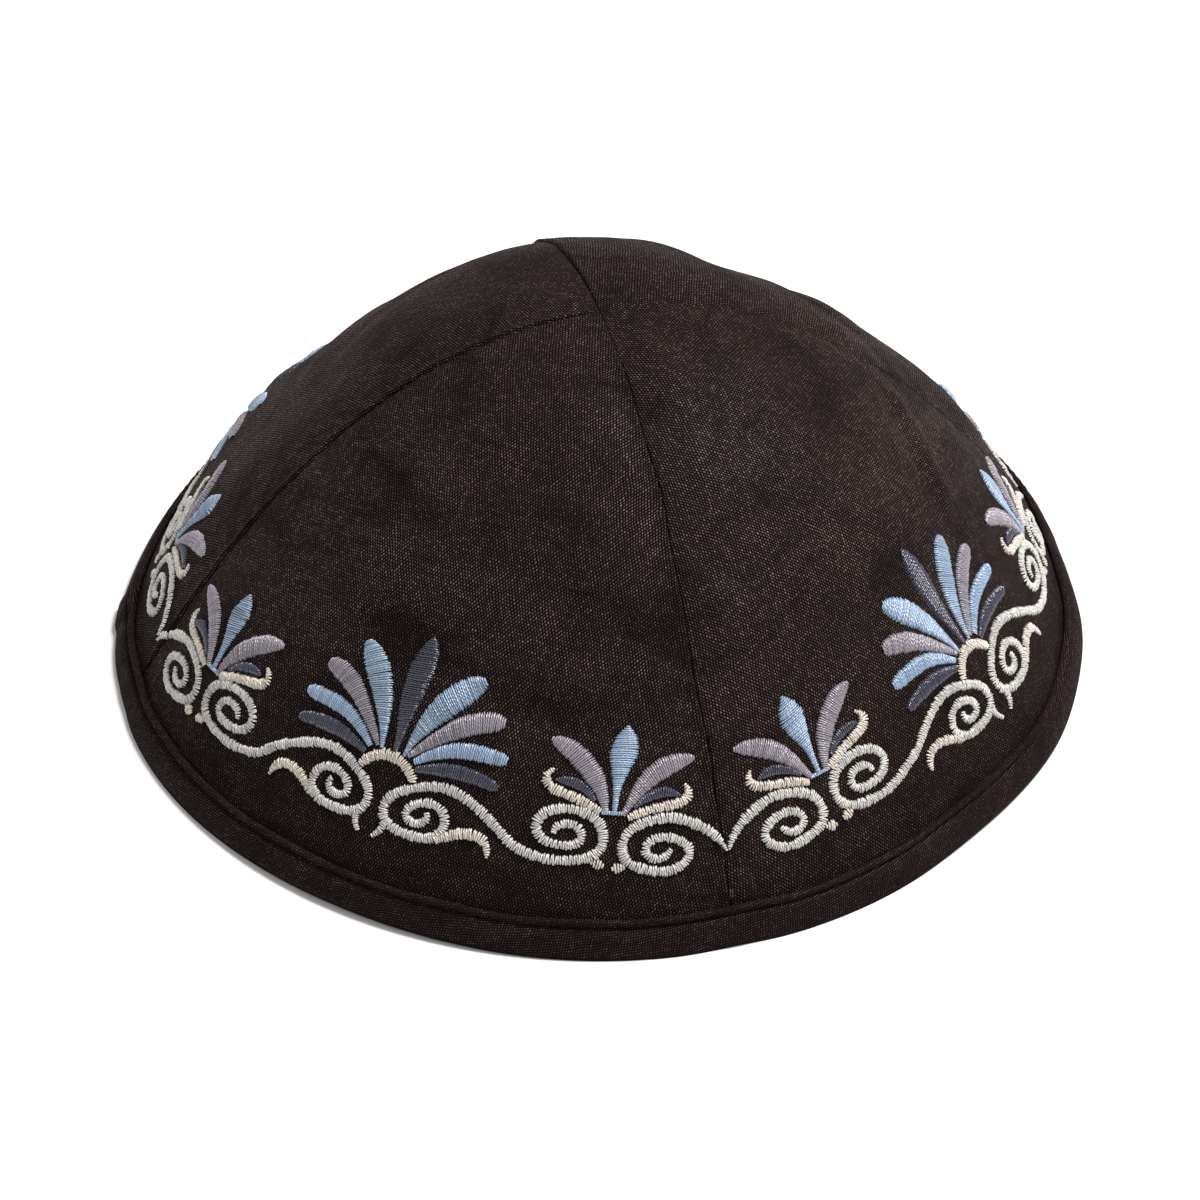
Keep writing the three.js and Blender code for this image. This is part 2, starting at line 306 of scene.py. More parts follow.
class Crown:
    """The outer cloth of the crown, by azimuth in degrees and arc up from the table in metres."""

    def __init__(self, scene):
        self.form = scene.skullcap_form
        self.cloth = scene.skullcap_cloth
        form = self.form
        self.binding_proud = form.sewn_gap + scene.skullcap_binding.leaf
        rim_slope = math.atan(form.crown_height * form.profile_power / form.rim_radius)
        radius = form.rim_radius - self.binding_proud * math.sin(rim_slope)
        self.radii = radius * np.cos(0.5 * np.pi * np.linspace(0.0, 1.0, PROFILE_STEPS + 1))
        self.heights = form.crown_height * (1.0 - (self.radii / radius) ** form.profile_power)
        self.runs = np.hypot(np.diff(self.radii), np.diff(self.heights))
        self.arcs = np.concatenate([[0.0], np.cumsum(self.runs)])
        self.top_arc = self.arcs[-1]
        seed = self.cloth.seed
        self.broad = {index: Waves(seed + index, 7, 22 * MM, 48 * MM) for index in range(4)}
        self.small = {index: Waves(seed + 10 + index, 9, 7 * MM, 15 * MM) for index in range(4)}
        self.patches = {index: Waves(seed + 20 + index, 4, 25 * MM, 60 * MM) for index in range(4)}
        self.wander = {index: Waves(seed + 30 + index, 4, 18 * MM, 55 * MM) for index in range(4)}
        self.gathers = {index: Waves(seed + 40 + index, 5, 4.5 * MM, 9 * MM) for index in range(8)}

    def radius(self, arc):
        return np.interp(arc, self.arcs, self.radii)

    def line(self, arc):
        """Radius, height and the two parts of the outward normal."""
        upper = np.clip(np.searchsorted(self.arcs, arc), 1, PROFILE_STEPS)
        normal_r = np.diff(self.heights)[upper - 1] / self.runs[upper - 1]
        normal_z = -np.diff(self.radii)[upper - 1] / self.runs[upper - 1]
        return self.radius(arc), np.interp(arc, self.arcs, self.heights), normal_r, normal_z

    def off_seam(self, azimuth):
        turn = np.mod(azimuth - FIRST_SEAM, GORE_ANGLE)
        return np.minimum(turn, GORE_ANGLE - turn)

    def swell(self, azimuth, arc, radius):
        """How far the packed form stands out from the round dome."""
        form = self.form
        up = np.clip(arc / self.top_arc, 0.0, 1.0)
        off_seam = np.radians(self.off_seam(azimuth))
        corner = form.corner_push * np.cos(4.0 * off_seam)
        oval = form.oval_push * np.cos(2.0 * np.radians(azimuth - form.oval_azimuth))
        push = (corner + oval) * (1.0 - up)
        push = push - form.seam_dip * bell(radius * np.sin(off_seam), form.seam_dip_reach)
        for dent in DENTS:
            across = bell(turn_between(azimuth, dent.azimuth), dent.wide)
            push = push + form.dent_depth * dent.push * across * bell(up - dent.up, dent.tall) * (1.0 - up**4)
        return push

    def lift(self, azimuth):
        form = self.form
        span = 0.5 * GORE_ANGLE - form.rest_half_angle
        share = np.clip((self.off_seam(azimuth) - form.rest_half_angle) / span, 0.0, 1.0)
        return 0.5 * form.rim_lift * (1.0 - np.cos(np.pi * share))

    def point(self, azimuth, arc, out):
        """A point of the packed form, out from its outer cloth."""
        azimuth, arc, out = np.broadcast_arrays(*(np.asarray(value, float) for value in (azimuth, arc, out)))
        radius, height, normal_r, normal_z = self.line(arc)
        push = self.swell(azimuth, arc, radius)
        settled = np.clip(arc / self.form.settle_height, 0.0, 1.0)
        radius = radius + normal_r * (out + push)
        height = height + normal_z * (out + push * settled) + self.lift(azimuth) * (1.0 - settled) ** 2
        turn = np.radians(azimuth)
        return np.stack([radius * np.cos(turn), radius * np.sin(turn), height], axis=-1)

    def seam_offset(self, seam, arc):
        """How far a seam wanders sideways at an arc."""
        settle = smooth_step(6 * MM, 20 * MM, arc) * smooth_step(0.0, 20 * MM, self.top_arc - arc)
        return self.cloth.seam_wander * settle * self.wander[seam % 4].rolling(arc, 0.0 * arc)

    def relief(self, azimuth, arc):
        """What sewing and handling add to the packed form: seams, gathers, waves and creases."""
        azimuth, arc = np.broadcast_arrays(np.asarray(azimuth, float), np.asarray(arc, float))
        radius = self.radius(arc)
        turn = np.mod(azimuth - FIRST_SEAM, GORE_ANGLE)
        gore = (np.floor_divide(np.mod(azimuth - FIRST_SEAM, 360.0), GORE_ANGLE)).astype(int) % 4
        total = np.zeros(np.shape(azimuth))
        for index in range(4):
            chosen = gore == index
            if not chosen.any():
                continue
            across = radius[chosen] * np.radians(turn[chosen])
            beyond = radius[chosen] * np.radians(GORE_ANGLE - turn[chosen])
            low = across - self.seam_offset(index, arc[chosen])
            high = beyond + self.seam_offset(index + 1, arc[chosen])
            total[chosen] = self.gore_relief(index, azimuth[chosen], arc[chosen], low, high)
        return total

    def gore_relief(self, index, azimuth, arc, low, high):
        """Low and high are the distances to the gore's seams at its lower and its higher azimuth."""
        cloth = self.cloth
        nearest = np.maximum(np.minimum(low, high), 0.0)
        across = 0.5 * (low - high)
        above_rim = smooth_step(5 * MM, 13 * MM, arc)
        inland = smooth_step(0.0, 7 * MM, nearest)
        patch = smooth_step(-0.6, 0.9, self.patches[index].rolling(across, arc))
        lie = cloth.wave_depth * self.broad[index].rolling(across, arc)
        lie = lie + cloth.crinkle_depth * patch * self.small[index].creased(across, arc)
        for crease in CREASES:
            lie = lie + cloth.crease_depth * crease.push * self.crease(crease, azimuth, arc)
        relief = lie * above_rim * inland
        relief = relief + self.ridge(high, arc) * (0.35 + 0.65 * above_rim)
        relief = relief - cloth.seam_valley * bell(low, 1.4 * MM) * (0.35 + 0.65 * above_rim)
        for side, distance in enumerate((low, high)):
            gather = self.gathers[2 * index + side].rolling(arc, 0.0 * arc)
            relief = relief + cloth.seam_pucker * gather * above_rim * bell(distance - 2 * MM, 2.2 * MM)
        fallen = 1.0 - np.sqrt(1.0 - np.clip(1.0 - nearest / cloth.fold_reach, 0.0, 1.0) ** 2)
        return relief * (1.0 - fallen) - cloth.seam_depth * fallen

    def ridge(self, distance, arc):
        """The step of the seam allowances, which lie under the gore before its higher seam."""
        cloth = self.cloth
        distance = np.maximum(distance, 0.0)
        crest = 0.6 * bell(distance - 0.5 * MM, 0.6 * MM)
        step = 0.4 * (1.0 - smooth_step(0.72 * cloth.allowance, 1.2 * cloth.allowance, distance))
        fade = smooth_step(0.0, 12 * MM, self.top_arc - arc)
        return cloth.seam_ridge * (crest + step) * fade

    def crease(self, crease, azimuth, arc):
        """1 along the middle of a crease, down to 0 beside it and past its ends."""
        radius = self.radius(arc)
        middle = 0.5 * (crease.start[0] + crease.end[0])
        across = radius * np.radians(np.mod(azimuth - middle + 180.0, 360.0) - 180.0)
        half = 0.5 * (crease.end[0] - crease.start[0])
        low_arc, high_arc = crease.start[1] * MM, crease.end[1] * MM
        start = np.array([self.radius(low_arc) * math.radians(-half), low_arc])
        end = np.array([self.radius(high_arc) * math.radians(half), high_arc])
        axis = end - start
        span = np.hypot(*axis)
        axis = axis / span
        along = (across - start[0]) * axis[0] + (arc - start[1]) * axis[1]
        aside = (across - start[0]) * -axis[1] + (arc - start[1]) * axis[0]
        beyond = np.maximum(np.maximum(-along, along - span), 0.0)
        return bell(aside, crease.width * MM) * bell(beyond, 2.0 * crease.width * MM)

    def skin(self, azimuth, arc, out=0.0):
        """A point of the finished cloth, with its relief."""
        return self.point(azimuth, arc, out + self.relief(azimuth, arc))

    def skin_normal(self, azimuth, arc):
        """The outward direction of the cloth, without its finest relief."""
        step = 0.8 * MM
        turn = np.degrees(step / np.maximum(self.radius(arc), 4 * step))
        along = self.skin(azimuth + turn, arc) - self.skin(azimuth - turn, arc)
        upward = self.skin(azimuth, arc + step) - self.skin(azimuth, arc - step)
        normal = np.cross(along, upward)
        return normal / np.linalg.norm(normal, axis=-1, keepdims=True)


class Graph:
    """Short ways to add linked nodes to a tree."""

    def __init__(self, tree):
        self.tree = tree

    def node(self, kind, inputs=None, **settings):
        made = self.tree.nodes.new(kind)
        for name, value in settings.items():
            setattr(made, name, value)
        for key, value in (inputs or {}).items():
            if isinstance(value, bpy.types.NodeSocket):
                self.tree.links.new(value, made.inputs[key])
            else:
                made.inputs[key].default_value = value
        return made

    def math(self, operation, *values):
        inputs = dict(enumerate(values))
        return self.node("ShaderNodeMath", inputs, operation=operation).outputs[0]

    def vector(self, operation, *values):
        inputs = dict(enumerate(values))
        return self.node("ShaderNodeVectorMath", inputs, operation=operation).outputs[0]

    def scaled(self, vector, scale):
        inputs = {"Vector": vector, "Scale": scale}
        return self.node("ShaderNodeVectorMath", inputs, operation="SCALE").outputs[0]

    def blend(self, factor, a, b):
        return self.node("ShaderNodeMix", {0: factor, 2: a, 3: b}, data_type="FLOAT").outputs[0]

    def tint(self, factor, a, b):
        return self.node("ShaderNodeMix", {0: factor, 6: a, 7: b}, data_type="RGBA").outputs[2]

    def remap(self, value, from_min, from_max, to_min, to_max):
        inputs = {0: value, 1: from_min, 2: from_max, 3: to_min, 4: to_max}
        return self.node("ShaderNodeMapRange", inputs).outputs[0]

    def noise(self, vector, scale, detail=2.0, rough=0.5):
        inputs = {"Vector": vector, "Scale": scale, "Detail": detail, "Roughness": rough}
        return self.node("ShaderNodeTexNoise", inputs).outputs[0]


def new_group(name, kind, inputs, outputs):
    """A node group with named sockets, and its input and output nodes."""
    tree = bpy.data.node_groups.new(name, kind)
    for socket, (socket_type, value) in inputs.items():
        made = tree.interface.new_socket(socket, in_out="INPUT", socket_type=socket_type)
        if value is not None:
            made.default_value = value
    for socket, socket_type in outputs.items():
        tree.interface.new_socket(socket, in_out="OUTPUT", socket_type=socket_type)
    return tree, tree.nodes.new("NodeGroupInput").outputs, tree.nodes.new("NodeGroupOutput").inputs


def rgba(value, share=1.0):
    """A colour, made darker or lighter by a share."""
    return (*(min(1.0, share * part) for part in value), 1.0)


def plain_weave_group():
    """Threads that pass over and under each other, from a map in metres of cloth."""
    if "plain_weave" in bpy.data.node_groups:
        return bpy.data.node_groups["plain_weave"]
    tree, given, result = new_group(
        "plain_weave",
        "ShaderNodeTree",
        {
            "Cloth": ("NodeSocketVector", None),
            "Warp Pitch": ("NodeSocketFloat", 0.26 * MM),
            "Weft Pitch": ("NodeSocketFloat", 0.49 * MM),
            "Turn": ("NodeSocketFloat", 0.0),
            "Uneven": ("NodeSocketFloat", 0.25),
        },
        {
            "Height": "NodeSocketFloat",
            "Warp Crown": "NodeSocketFloat",
            "Weft Crown": "NodeSocketFloat",
            "Thread Tone": "NodeSocketFloat",
        },
    )
    graph = Graph(tree)
    turned = graph.node("ShaderNodeVectorRotate", {"Vector": given["Cloth"], "Angle": given["Turn"]})
    pitch = graph.node("ShaderNodeCombineXYZ", {0: given["Warp Pitch"], 1: given["Weft Pitch"], 2: 1.0})
    threads = graph.vector("DIVIDE", turned.outputs[0], pitch.outputs[0])
    drift_noise = graph.node("ShaderNodeTexNoise", {"Vector": threads, "Scale": 0.11, "Detail": 2.0})
    drift = graph.vector("SUBTRACT", drift_noise.outputs["Color"], (0.5, 0.5, 0.5))
    drift = graph.scaled(drift, graph.math("MULTIPLY", given["Uneven"], 8.0))
    placed = graph.node("ShaderNodeSeparateXYZ", {0: graph.vector("ADD", threads, drift)}).outputs
    column = graph.math("FLOOR", placed["X"])
    row = graph.math("FLOOR", placed["Y"])
    parity = graph.math("FLOORED_MODULO", graph.math("ADD", column, row), 2.0)
    aside = [
        graph.math("ABSOLUTE", graph.math("MULTIPLY_ADD", graph.math("FRACT", placed[axis]), 2.0, -1.0))
        for axis in ("X", "Y")
    ]
    fall = [graph.math("MULTIPLY", value, value) for value in aside]
    warp_side = graph.math("MULTIPLY_ADD", fall[0], -0.8, 1.0)
    warp = graph.math("MULTIPLY", warp_side, graph.math("MULTIPLY_ADD", fall[1], -0.85, 1.0))
    weft_side = graph.math("SUBTRACT", 1.0, fall[1])
    weft = graph.math("MULTIPLY", weft_side, graph.math("MULTIPLY_ADD", fall[0], -0.5, 1.0))
    crossing = graph.node("ShaderNodeCombineXYZ", {0: column, 1: row, 2: 0.0}).outputs[0]
    cell_tone = graph.node("ShaderNodeTexWhiteNoise", {"Vector": crossing}, noise_dimensions="3D").outputs[0]
    warp_tone = graph.node("ShaderNodeTexWhiteNoise", {"W": column}, noise_dimensions="1D").outputs[0]
    weft_tone = graph.node("ShaderNodeTexWhiteNoise", {"W": row}, noise_dimensions="1D").outputs[0]
    thread_tone = graph.blend(parity, warp_tone, weft_tone)
    low_weft = graph.math("MULTIPLY", weft, 0.5)
    tree.links.new(graph.blend(parity, warp, low_weft), result["Height"])
    tree.links.new(graph.math("MULTIPLY", warp, graph.math("SUBTRACT", 1.0, parity)), result["Warp Crown"])
    tree.links.new(graph.math("MULTIPLY", weft, parity), result["Weft Crown"])
    tree.links.new(graph.blend(0.25, cell_tone, thread_tone), result["Thread Tone"])
    return tree


def tone_and_sheen_patches_group():
    """Broad soft patches, where the cloth's tone is a little lighter or darker and its painted glints brighter
    or dimmer, and small creases in its surface.
    """
    if "tone_and_sheen_patches" in bpy.data.node_groups:
        return bpy.data.node_groups["tone_and_sheen_patches"]
    tree, given, result = new_group(
        "tone_and_sheen_patches",
        "ShaderNodeTree",
        {
            "Place": ("NodeSocketVector", None),
            "Cloth": ("NodeSocketVector", None),
            "Patch Size": ("NodeSocketFloat", 13 * MM),
        },
        {"Patch": "NodeSocketFloat", "Crinkle": "NodeSocketFloat"},
    )
    graph = Graph(tree)
    place = graph.node(
        "ShaderNodeVectorMath",
        {0: given["Place"], 3: graph.math("DIVIDE", 1.0, given["Patch Size"])},
        operation="SCALE",
    ).outputs[0]
    across = graph.vector("DIVIDE", given["Cloth"], (26 * MM, 8 * MM, 1.0))
    creases = graph.node(
        "ShaderNodeTexNoise", {"Vector": across, "Scale": 1.0, "Detail": 2.0, "Distortion": 0.9}
    ).outputs[0]
    patch = graph.blend(0.4, graph.noise(place, 1.0, detail=4.0, rough=0.6), creases)
    small = graph.noise(place, 2.2, detail=3.0, rough=0.6)
    fold = [
        graph.math("ABSOLUTE", graph.math("MULTIPLY_ADD", value, 4.0, -2.0)) for value in (creases, small)
    ]
    ridge = graph.math("MULTIPLY_ADD", fold[1], 0.35, graph.math("MULTIPLY", fold[0], 0.65))
    tree.links.new(graph.remap(patch, 0.3, 0.7, 0.0, 1.0), result["Patch"])
    tree.links.new(graph.math("SUBTRACT", 1.0, ridge), result["Crinkle"])
    return tree


def spun_thread_group():
    """The filaments of a twisted thread, along the thread's own map."""
    if "spun_thread" in bpy.data.node_groups:
        return bpy.data.node_groups["spun_thread"]
    tree, given, result = new_group(
        "spun_thread",
        "ShaderNodeTree",
        {
            "Strand": ("NodeSocketVector", None),
            "Reach": ("NodeSocketFloat", MM),
            "Plies": ("NodeSocketFloat", 2.0),
            "Lay": ("NodeSocketFloat", 1.4 * MM),
            "Phase": ("NodeSocketFloat", 0.0),
        },
        {"Height": "NodeSocketFloat"},
    )
    graph = Graph(tree)
    strand = graph.node("ShaderNodeSeparateXYZ", {0: given["Strand"]}).outputs
    along = graph.math("DIVIDE", graph.math("MULTIPLY", strand["X"], given["Reach"]), given["Lay"])
    started = graph.math("ADD", strand["Y"], given["Phase"])
    wound = graph.math("MULTIPLY", graph.math("ADD", along, started), given["Plies"])
    turn = graph.math("MULTIPLY", wound, 2.0 * math.pi)
    tree.links.new(graph.math("MULTIPLY_ADD", graph.math("SINE", turn), 0.5, 0.5), result["Height"])
    return tree


def new_material(name):
    """An empty material: its graph and its Principled shader."""
    made = bpy.data.materials.new(name)
    made.use_nodes = True
    made.node_tree.nodes.clear()
    graph = Graph(made.node_tree)
    shader = graph.node("ShaderNodeBsdfPrincipled")
    graph.node("ShaderNodeOutputMaterial", {"Surface": shader.outputs[0]})
    return made, graph, shader


def use_group(graph, tree, inputs):
    made = graph.tree.nodes.new("ShaderNodeGroup")
    made.node_tree = tree
    for name, value in inputs.items():
        if isinstance(value, bpy.types.NodeSocket):
            graph.tree.links.new(value, made.inputs[name])
        else:
            made.inputs[name].default_value = value
    return made.outputs


CLOTH_SHADER = {
    "Coat Roughness": 0.48,
    "Coat Tint": (1.0, 0.93, 0.9, 1.0),
    "Roughness": 0.85,
    "Specular IOR Level": 0.04,
    "Sheen Weight": 0.012,
    "Sheen Roughness": 0.3,
    "Sheen Tint": (1.0, 0.62, 0.5, 1.0),
}


def woven_material(name, settings, turn, shine, weave_depth, low_shine=1.0):
    """Dark woven cloth: glints on the thread crowns, painted in its base colour and given to its coat, patches
    of more and less painted shine, and fine creases.

    Low shine is the share of its glints that the cloth keeps near the rim, as painted shade that darkens the
    cloth towards the rim; near the top it keeps a share half way between that and all.
    """
    made, graph, shader = new_material(name)
    cloth_map = graph.node("ShaderNodeUVMap", uv_map="cloth").outputs[0]
    pitches = {"Warp Pitch": settings.warp_pitch, "Weft Pitch": settings.weft_pitch}
    weave = use_group(graph, plain_weave_group(), {"Cloth": cloth_map, "Turn": turn, **pitches})
    place = graph.node("ShaderNodeTexCoord").outputs["Object"]
    patches = use_group(graph, tone_and_sheen_patches_group(), {"Place": place, "Cloth": cloth_map})
    crown = graph.math("MULTIPLY_ADD", weave["Weft Crown"], 0.3, weave["Warp Crown"])
    crown = graph.remap(crown, 0.3, 1.0, 0.0, 1.0)
    sparkle = graph.math("MULTIPLY_ADD", graph.math("POWER", weave["Thread Tone"], 3.0), 0.7, 0.2)
    glint = graph.math("MULTIPLY", crown, sparkle)
    # Painted sheen: the patches make the painted glints brighter in some places and dimmer in others.
    glint = graph.math("MULTIPLY", glint, graph.remap(patches["Patch"], 0.0, 1.0, 0.4, 1.55))
    # Painted highlight and shade: the glints brighten and dim along the small creases.
    glint = graph.math("MULTIPLY", glint, graph.remap(patches["Crinkle"], 0.3, 1.0, 0.8, 1.3))
    # Painted shade: the glints, in the base colour and the coat, fade towards the rim and part way towards the
    # top.
    height = graph.node("ShaderNodeSeparateXYZ", {0: cloth_map}).outputs["Y"]
    glint = graph.math("MULTIPLY", glint, graph.remap(height, 12 * MM, 42 * MM, low_shine, 1.0))
    top_shine = 0.5 * (1.0 + low_shine)
    glint = graph.math("MULTIPLY", glint, graph.remap(height, 60 * MM, 105 * MM, 1.0, top_shine))
    glint = graph.math("MINIMUM", glint, 1.0)
    # Painted shade: the cloth is darker where its weave lies low, between the thread crowns.
    body = graph.tint(weave["Height"], rgba(settings.dark, 0.6), rgba(settings.dark))
    body = graph.scaled(body, graph.remap(patches["Patch"], 0.0, 1.0, 0.85, 1.15))
    # Painted highlight: the base colour turns to the glint colour where the glints fall.
    graph.tree.links.new(graph.tint(glint, body, rgba(settings.bright)), shader.inputs["Base Color"])
    graph.tree.links.new(graph.math("MULTIPLY", glint, shine), shader.inputs["Coat Weight"])
    for socket, value in CLOTH_SHADER.items():
        shader.inputs[socket].default_value = value
    folds = graph.node(
        "ShaderNodeBump", {"Strength": 0.8, "Distance": 0.5 * MM, "Height": patches["Crinkle"]}
    )
    threads = graph.node(
        "ShaderNodeBump",
        {"Strength": 0.8, "Distance": weave_depth, "Height": weave["Height"], "Normal": folds.outputs[0]},
    )
    graph.tree.links.new(threads.outputs[0], shader.inputs["Normal"])
    return made


# The plies' painted shadows and painted highlights on their crowns as shares of a thread's tint, and the turns
# by which threads start their twist.
PLY_SHADOW = 0.5
PLY_LIGHT = 1.5
TWIST_SPREAD = 17.0


def thread_material(name, tint, roughness=0.26, gloss=1.0):
    """Glossy two-ply thread whose tone changes a little from stitch to stitch, with painted shade and highlight
    along its twisted plies.
    """
    made, graph, shader = new_material(name)
    tone = graph.node("ShaderNodeAttribute", attribute_name="tone").outputs["Fac"]
    reach = graph.node("ShaderNodeAttribute", attribute_name="reach").outputs["Fac"]
    strand = graph.node("ShaderNodeUVMap", uv_map="strand").outputs[0]
    phase = graph.math("MULTIPLY", tone, TWIST_SPREAD)
    plies = use_group(graph, spun_thread_group(), {"Strand": strand, "Reach": reach, "Phase": phase})
    # Painted shade and highlight: the plies' grooves are darker and their crowns lighter, and each stitch's own
    # tone lightens or darkens it too.
    light = graph.math("MULTIPLY_ADD", plies["Height"], 0.6, graph.math("MULTIPLY", tone, 0.4))
    shade = graph.tint(light, rgba(tint, PLY_SHADOW), rgba(tint, PLY_LIGHT))
    graph.tree.links.new(shade, shader.inputs["Base Color"])
    polish = graph.remap(tone, 0.0, 1.0, roughness + 0.06, roughness - 0.04)
    graph.tree.links.new(polish, shader.inputs["Roughness"])
    shader.inputs["Specular IOR Level"].default_value = gloss
    shader.inputs["Sheen Weight"].default_value = 0.03 * gloss
    bump = graph.node("ShaderNodeBump", {"Strength": 0.8, "Distance": 0.06 * MM, "Height": plies["Height"]})
    graph.tree.links.new(bump.outputs[0], shader.inputs["Normal"])
    return made


def new_object(name, mesh):
    made = bpy.data.objects.new(name, mesh)
    bpy.context.scene.collection.objects.link(made)
    return made


def mesh_from(name, points, faces):
    mesh = bpy.data.meshes.new(name)
    mesh.from_pydata([tuple(point) for point in points], [], faces)
    mesh.validate()
    mesh.polygons.foreach_set("use_smooth", np.ones(len(mesh.polygons), bool))
    return mesh


def lay_map(mesh, name, coordinates):
    """Gives each corner the map coordinates of its vertex."""
    corners = np.zeros(len(mesh.loops), int)
    mesh.loops.foreach_get("vertex_index", corners)
    layer = mesh.uv_layers.new(name=name)
    layer.data.foreach_set("uv", np.asarray(coordinates)[corners].astype(np.float32).ravel())


def grid_faces(rows, columns, start=0, flip=False):
    """Quads over a grid of vertices, row by row."""
    faces = []
    for row in range(rows - 1):
        for column in range(columns - 1):
            a = start + row * columns + column
            quad = (a, a + 1, a + columns + 1, a + columns)
            faces.append(quad[::-1] if flip else quad)
    return faces


def finish_piece(piece, material, replaces=None):
    if material:
        piece.data.materials.clear()
        piece.data.materials.append(material)
    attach(piece, BODY)
    if replaces:
        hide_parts(replaces)
    return piece


# The inner face of a gore follows its creases down to no more than this.
INNER_SINK = 0.25 * MM
GORE_COLUMNS = 120
GORE_ROWS = 92
EDGE_POWER = 1.8


def gore_columns():
    """Shares across a gore from its lower seam to its higher, close together near the seams."""
    half = 0.5 * (np.arange(GORE_COLUMNS // 2 + 1) / (GORE_COLUMNS // 2)) ** EDGE_POWER
    return np.concatenate([half, 1.0 - half[-2::-1]])


def grain_map(crown, azimuth_off, arc):
    """Where a point of a gore lay on the flat cloth, whose grain runs along the gore's middle."""
    radius, _, _, normal_z = crown.line(arc)
    flat = np.clip(normal_z, 0.2, 1.0)
    spread = radius / flat
    turn = np.radians(azimuth_off) * flat
    return np.stack([spread * np.sin(turn), arc + spread * (1.0 - np.cos(turn))], axis=-1)


def build_gore(crown, side, centre):
    """One closed wall of cloth from inside the binding to the top of the crown."""
    form = crown.form
    low_seam = centre - 0.5 * GORE_ANGLE
    seam = int(round((low_seam - FIRST_SEAM) / GORE_ANGLE)) % 4
    shares = gore_columns()
    arcs = np.linspace(form.cloth_start, crown.top_arc - 0.05 * MM, GORE_ROWS)
    share, arc = np.meshgrid(shares, arcs)
    radius = np.maximum(crown.radius(arc), 0.05 * MM)
    clearance = 0.03 * MM
    low_shift = np.degrees(np.clip((crown.seam_offset(seam, arc) + clearance) / radius, -0.3, 0.3))
    high_shift = np.degrees(np.clip((crown.seam_offset(seam + 1, arc) - clearance) / radius, -0.3, 0.3))
    azimuth = low_seam + low_shift + share * (GORE_ANGLE + high_shift - low_shift)
    outer = crown.skin(azimuth, arc).reshape(-1, 3)
    inner_lie = np.maximum(crown.relief(azimuth, arc), -INNER_SINK)
    inner = crown.point(azimuth, arc, inner_lie - form.crown_wall).reshape(-1, 3)
    rows, columns = arc.shape
    count = rows * columns
    faces = grid_faces(rows, columns) + grid_faces(rows, columns, start=count, flip=True)
    for column in range(columns - 1):
        faces.append((count + column, count + column + 1, column + 1, column))
        top = (rows - 1) * columns + column
        faces.append((top, top + 1, count + top + 1, count + top))
    for row in range(rows - 1):
        first = row * columns
        faces.append((count + first, first, first + columns, count + first + columns))
        last = first + columns - 1
        faces.append((last, count + last, count + last + columns, last + columns))
    mesh = mesh_from(f"gore_{side}", np.vstack([outer, inner]), faces)
    grain = grain_map(crown, azimuth - centre, arc)
    surface = np.linalg.norm(np.diff(outer.reshape(*arc.shape, 3), axis=1), axis=-1)
    excess = np.maximum(surface - np.linalg.norm(np.diff(grain, axis=1), axis=-1), 0.0)
    taken = np.concatenate([0.0 * arc[:, :1], np.cumsum(excess, axis=1)], axis=1)
    grain[..., 0] += taken - taken[:, columns // 2, None]
    grain = grain.reshape(-1, 2)
    lay_map(mesh, "cloth", np.vstack([grain, grain]))
    return new_object(f"gore_{side}", mesh)


class SKULLCAP_OT_gores(Operator):
    """Sews the four gores of the crown"""

    bl_idname = "skullcap.gores"
    bl_label = "Crown Gores"

    def execute(self, context):
        crown = Crown(context.scene)
        material = woven_material("crown_cloth", crown.cloth, 0.0, 0.9, 0.1 * MM, 0.52)
        for side, centre in GORE_CENTRES.items():
            gore = build_gore(crown, side, centre)
            finish_piece(gore, material, f"crown_gore_{side}")
        return {"FINISHED"}


def binding_section(crown, binding, azimuth):
    """Arc and out of the tape's section, from the foot of the fold up the outside and down the inside."""
    proud = crown.binding_proud
    form = crown.form
    inside = -(form.crown_wall + proud)
    lap_share = np.mod(azimuth - binding.lap_azimuth, 360.0) / binding.lap_angle
    lap = smooth_step(0.0, 0.06, lap_share) * (1.0 - smooth_step(0.7, 1.0, lap_share))
    rise = binding.lap_rise * lap
    gather = np.sin(2.0 * np.pi * np.radians(azimuth) * form.rim_radius / binding.stitch_pitch)
    gather = gather + 0.6 * np.sin(np.radians(azimuth) * form.rim_radius / (0.41 * MM) + 2.0 * gather)
    pucker = binding.pucker * gather
    groove = binding.groove_arc
    width = binding.width
    tape = width - groove
    outer = [
        (0.3 * MM, proud - 0.12 * MM + rise),
        (0.8 * MM, proud + 0.02 * MM + rise),
        (1.6 * MM, proud + 0.12 * MM + rise),
        (2.6 * MM, proud + 0.16 * MM + rise + 0.3 * pucker),
        (3.5 * MM, proud + 0.1 * MM + rise + 0.6 * pucker),
        (groove - 0.7 * MM, proud - 0.02 * MM + rise + pucker),
        (groove - 0.3 * MM, proud - 0.3 * MM + 0.8 * rise),
        (groove, proud - binding.groove_depth + 0.6 * rise),
        (groove + 0.16 * tape, proud - 0.36 * MM + 0.8 * rise),
        (groove + 0.38 * tape, proud + 0.06 * MM + rise + pucker),
        (groove + 0.64 * tape, proud + 0.1 * MM + rise + pucker),
        (groove + 0.88 * tape, proud - 0.14 * MM + rise),
        (width, proud - 0.6 * MM + rise),
        (width - 0.12 * MM, 0.1 * MM + 0.0 * azimuth),
    ]
    slot_floor = form.cloth_start - form.sewn_gap
    back = -(form.crown_wall + 0.12 * MM)
    inner = [
        (slot_floor, 0.1 * MM),
        (slot_floor, back),
        (binding.inside, back),
        (binding.inside + 0.1 * MM, 0.5 * (back + inside)),
        (binding.inside - 0.15 * MM, inside + 0.08 * MM),
        (binding.inside - 1.2 * MM, inside + 0.25 * MM),
        (0.6 * binding.inside, inside),
    ]
    return outer, inner


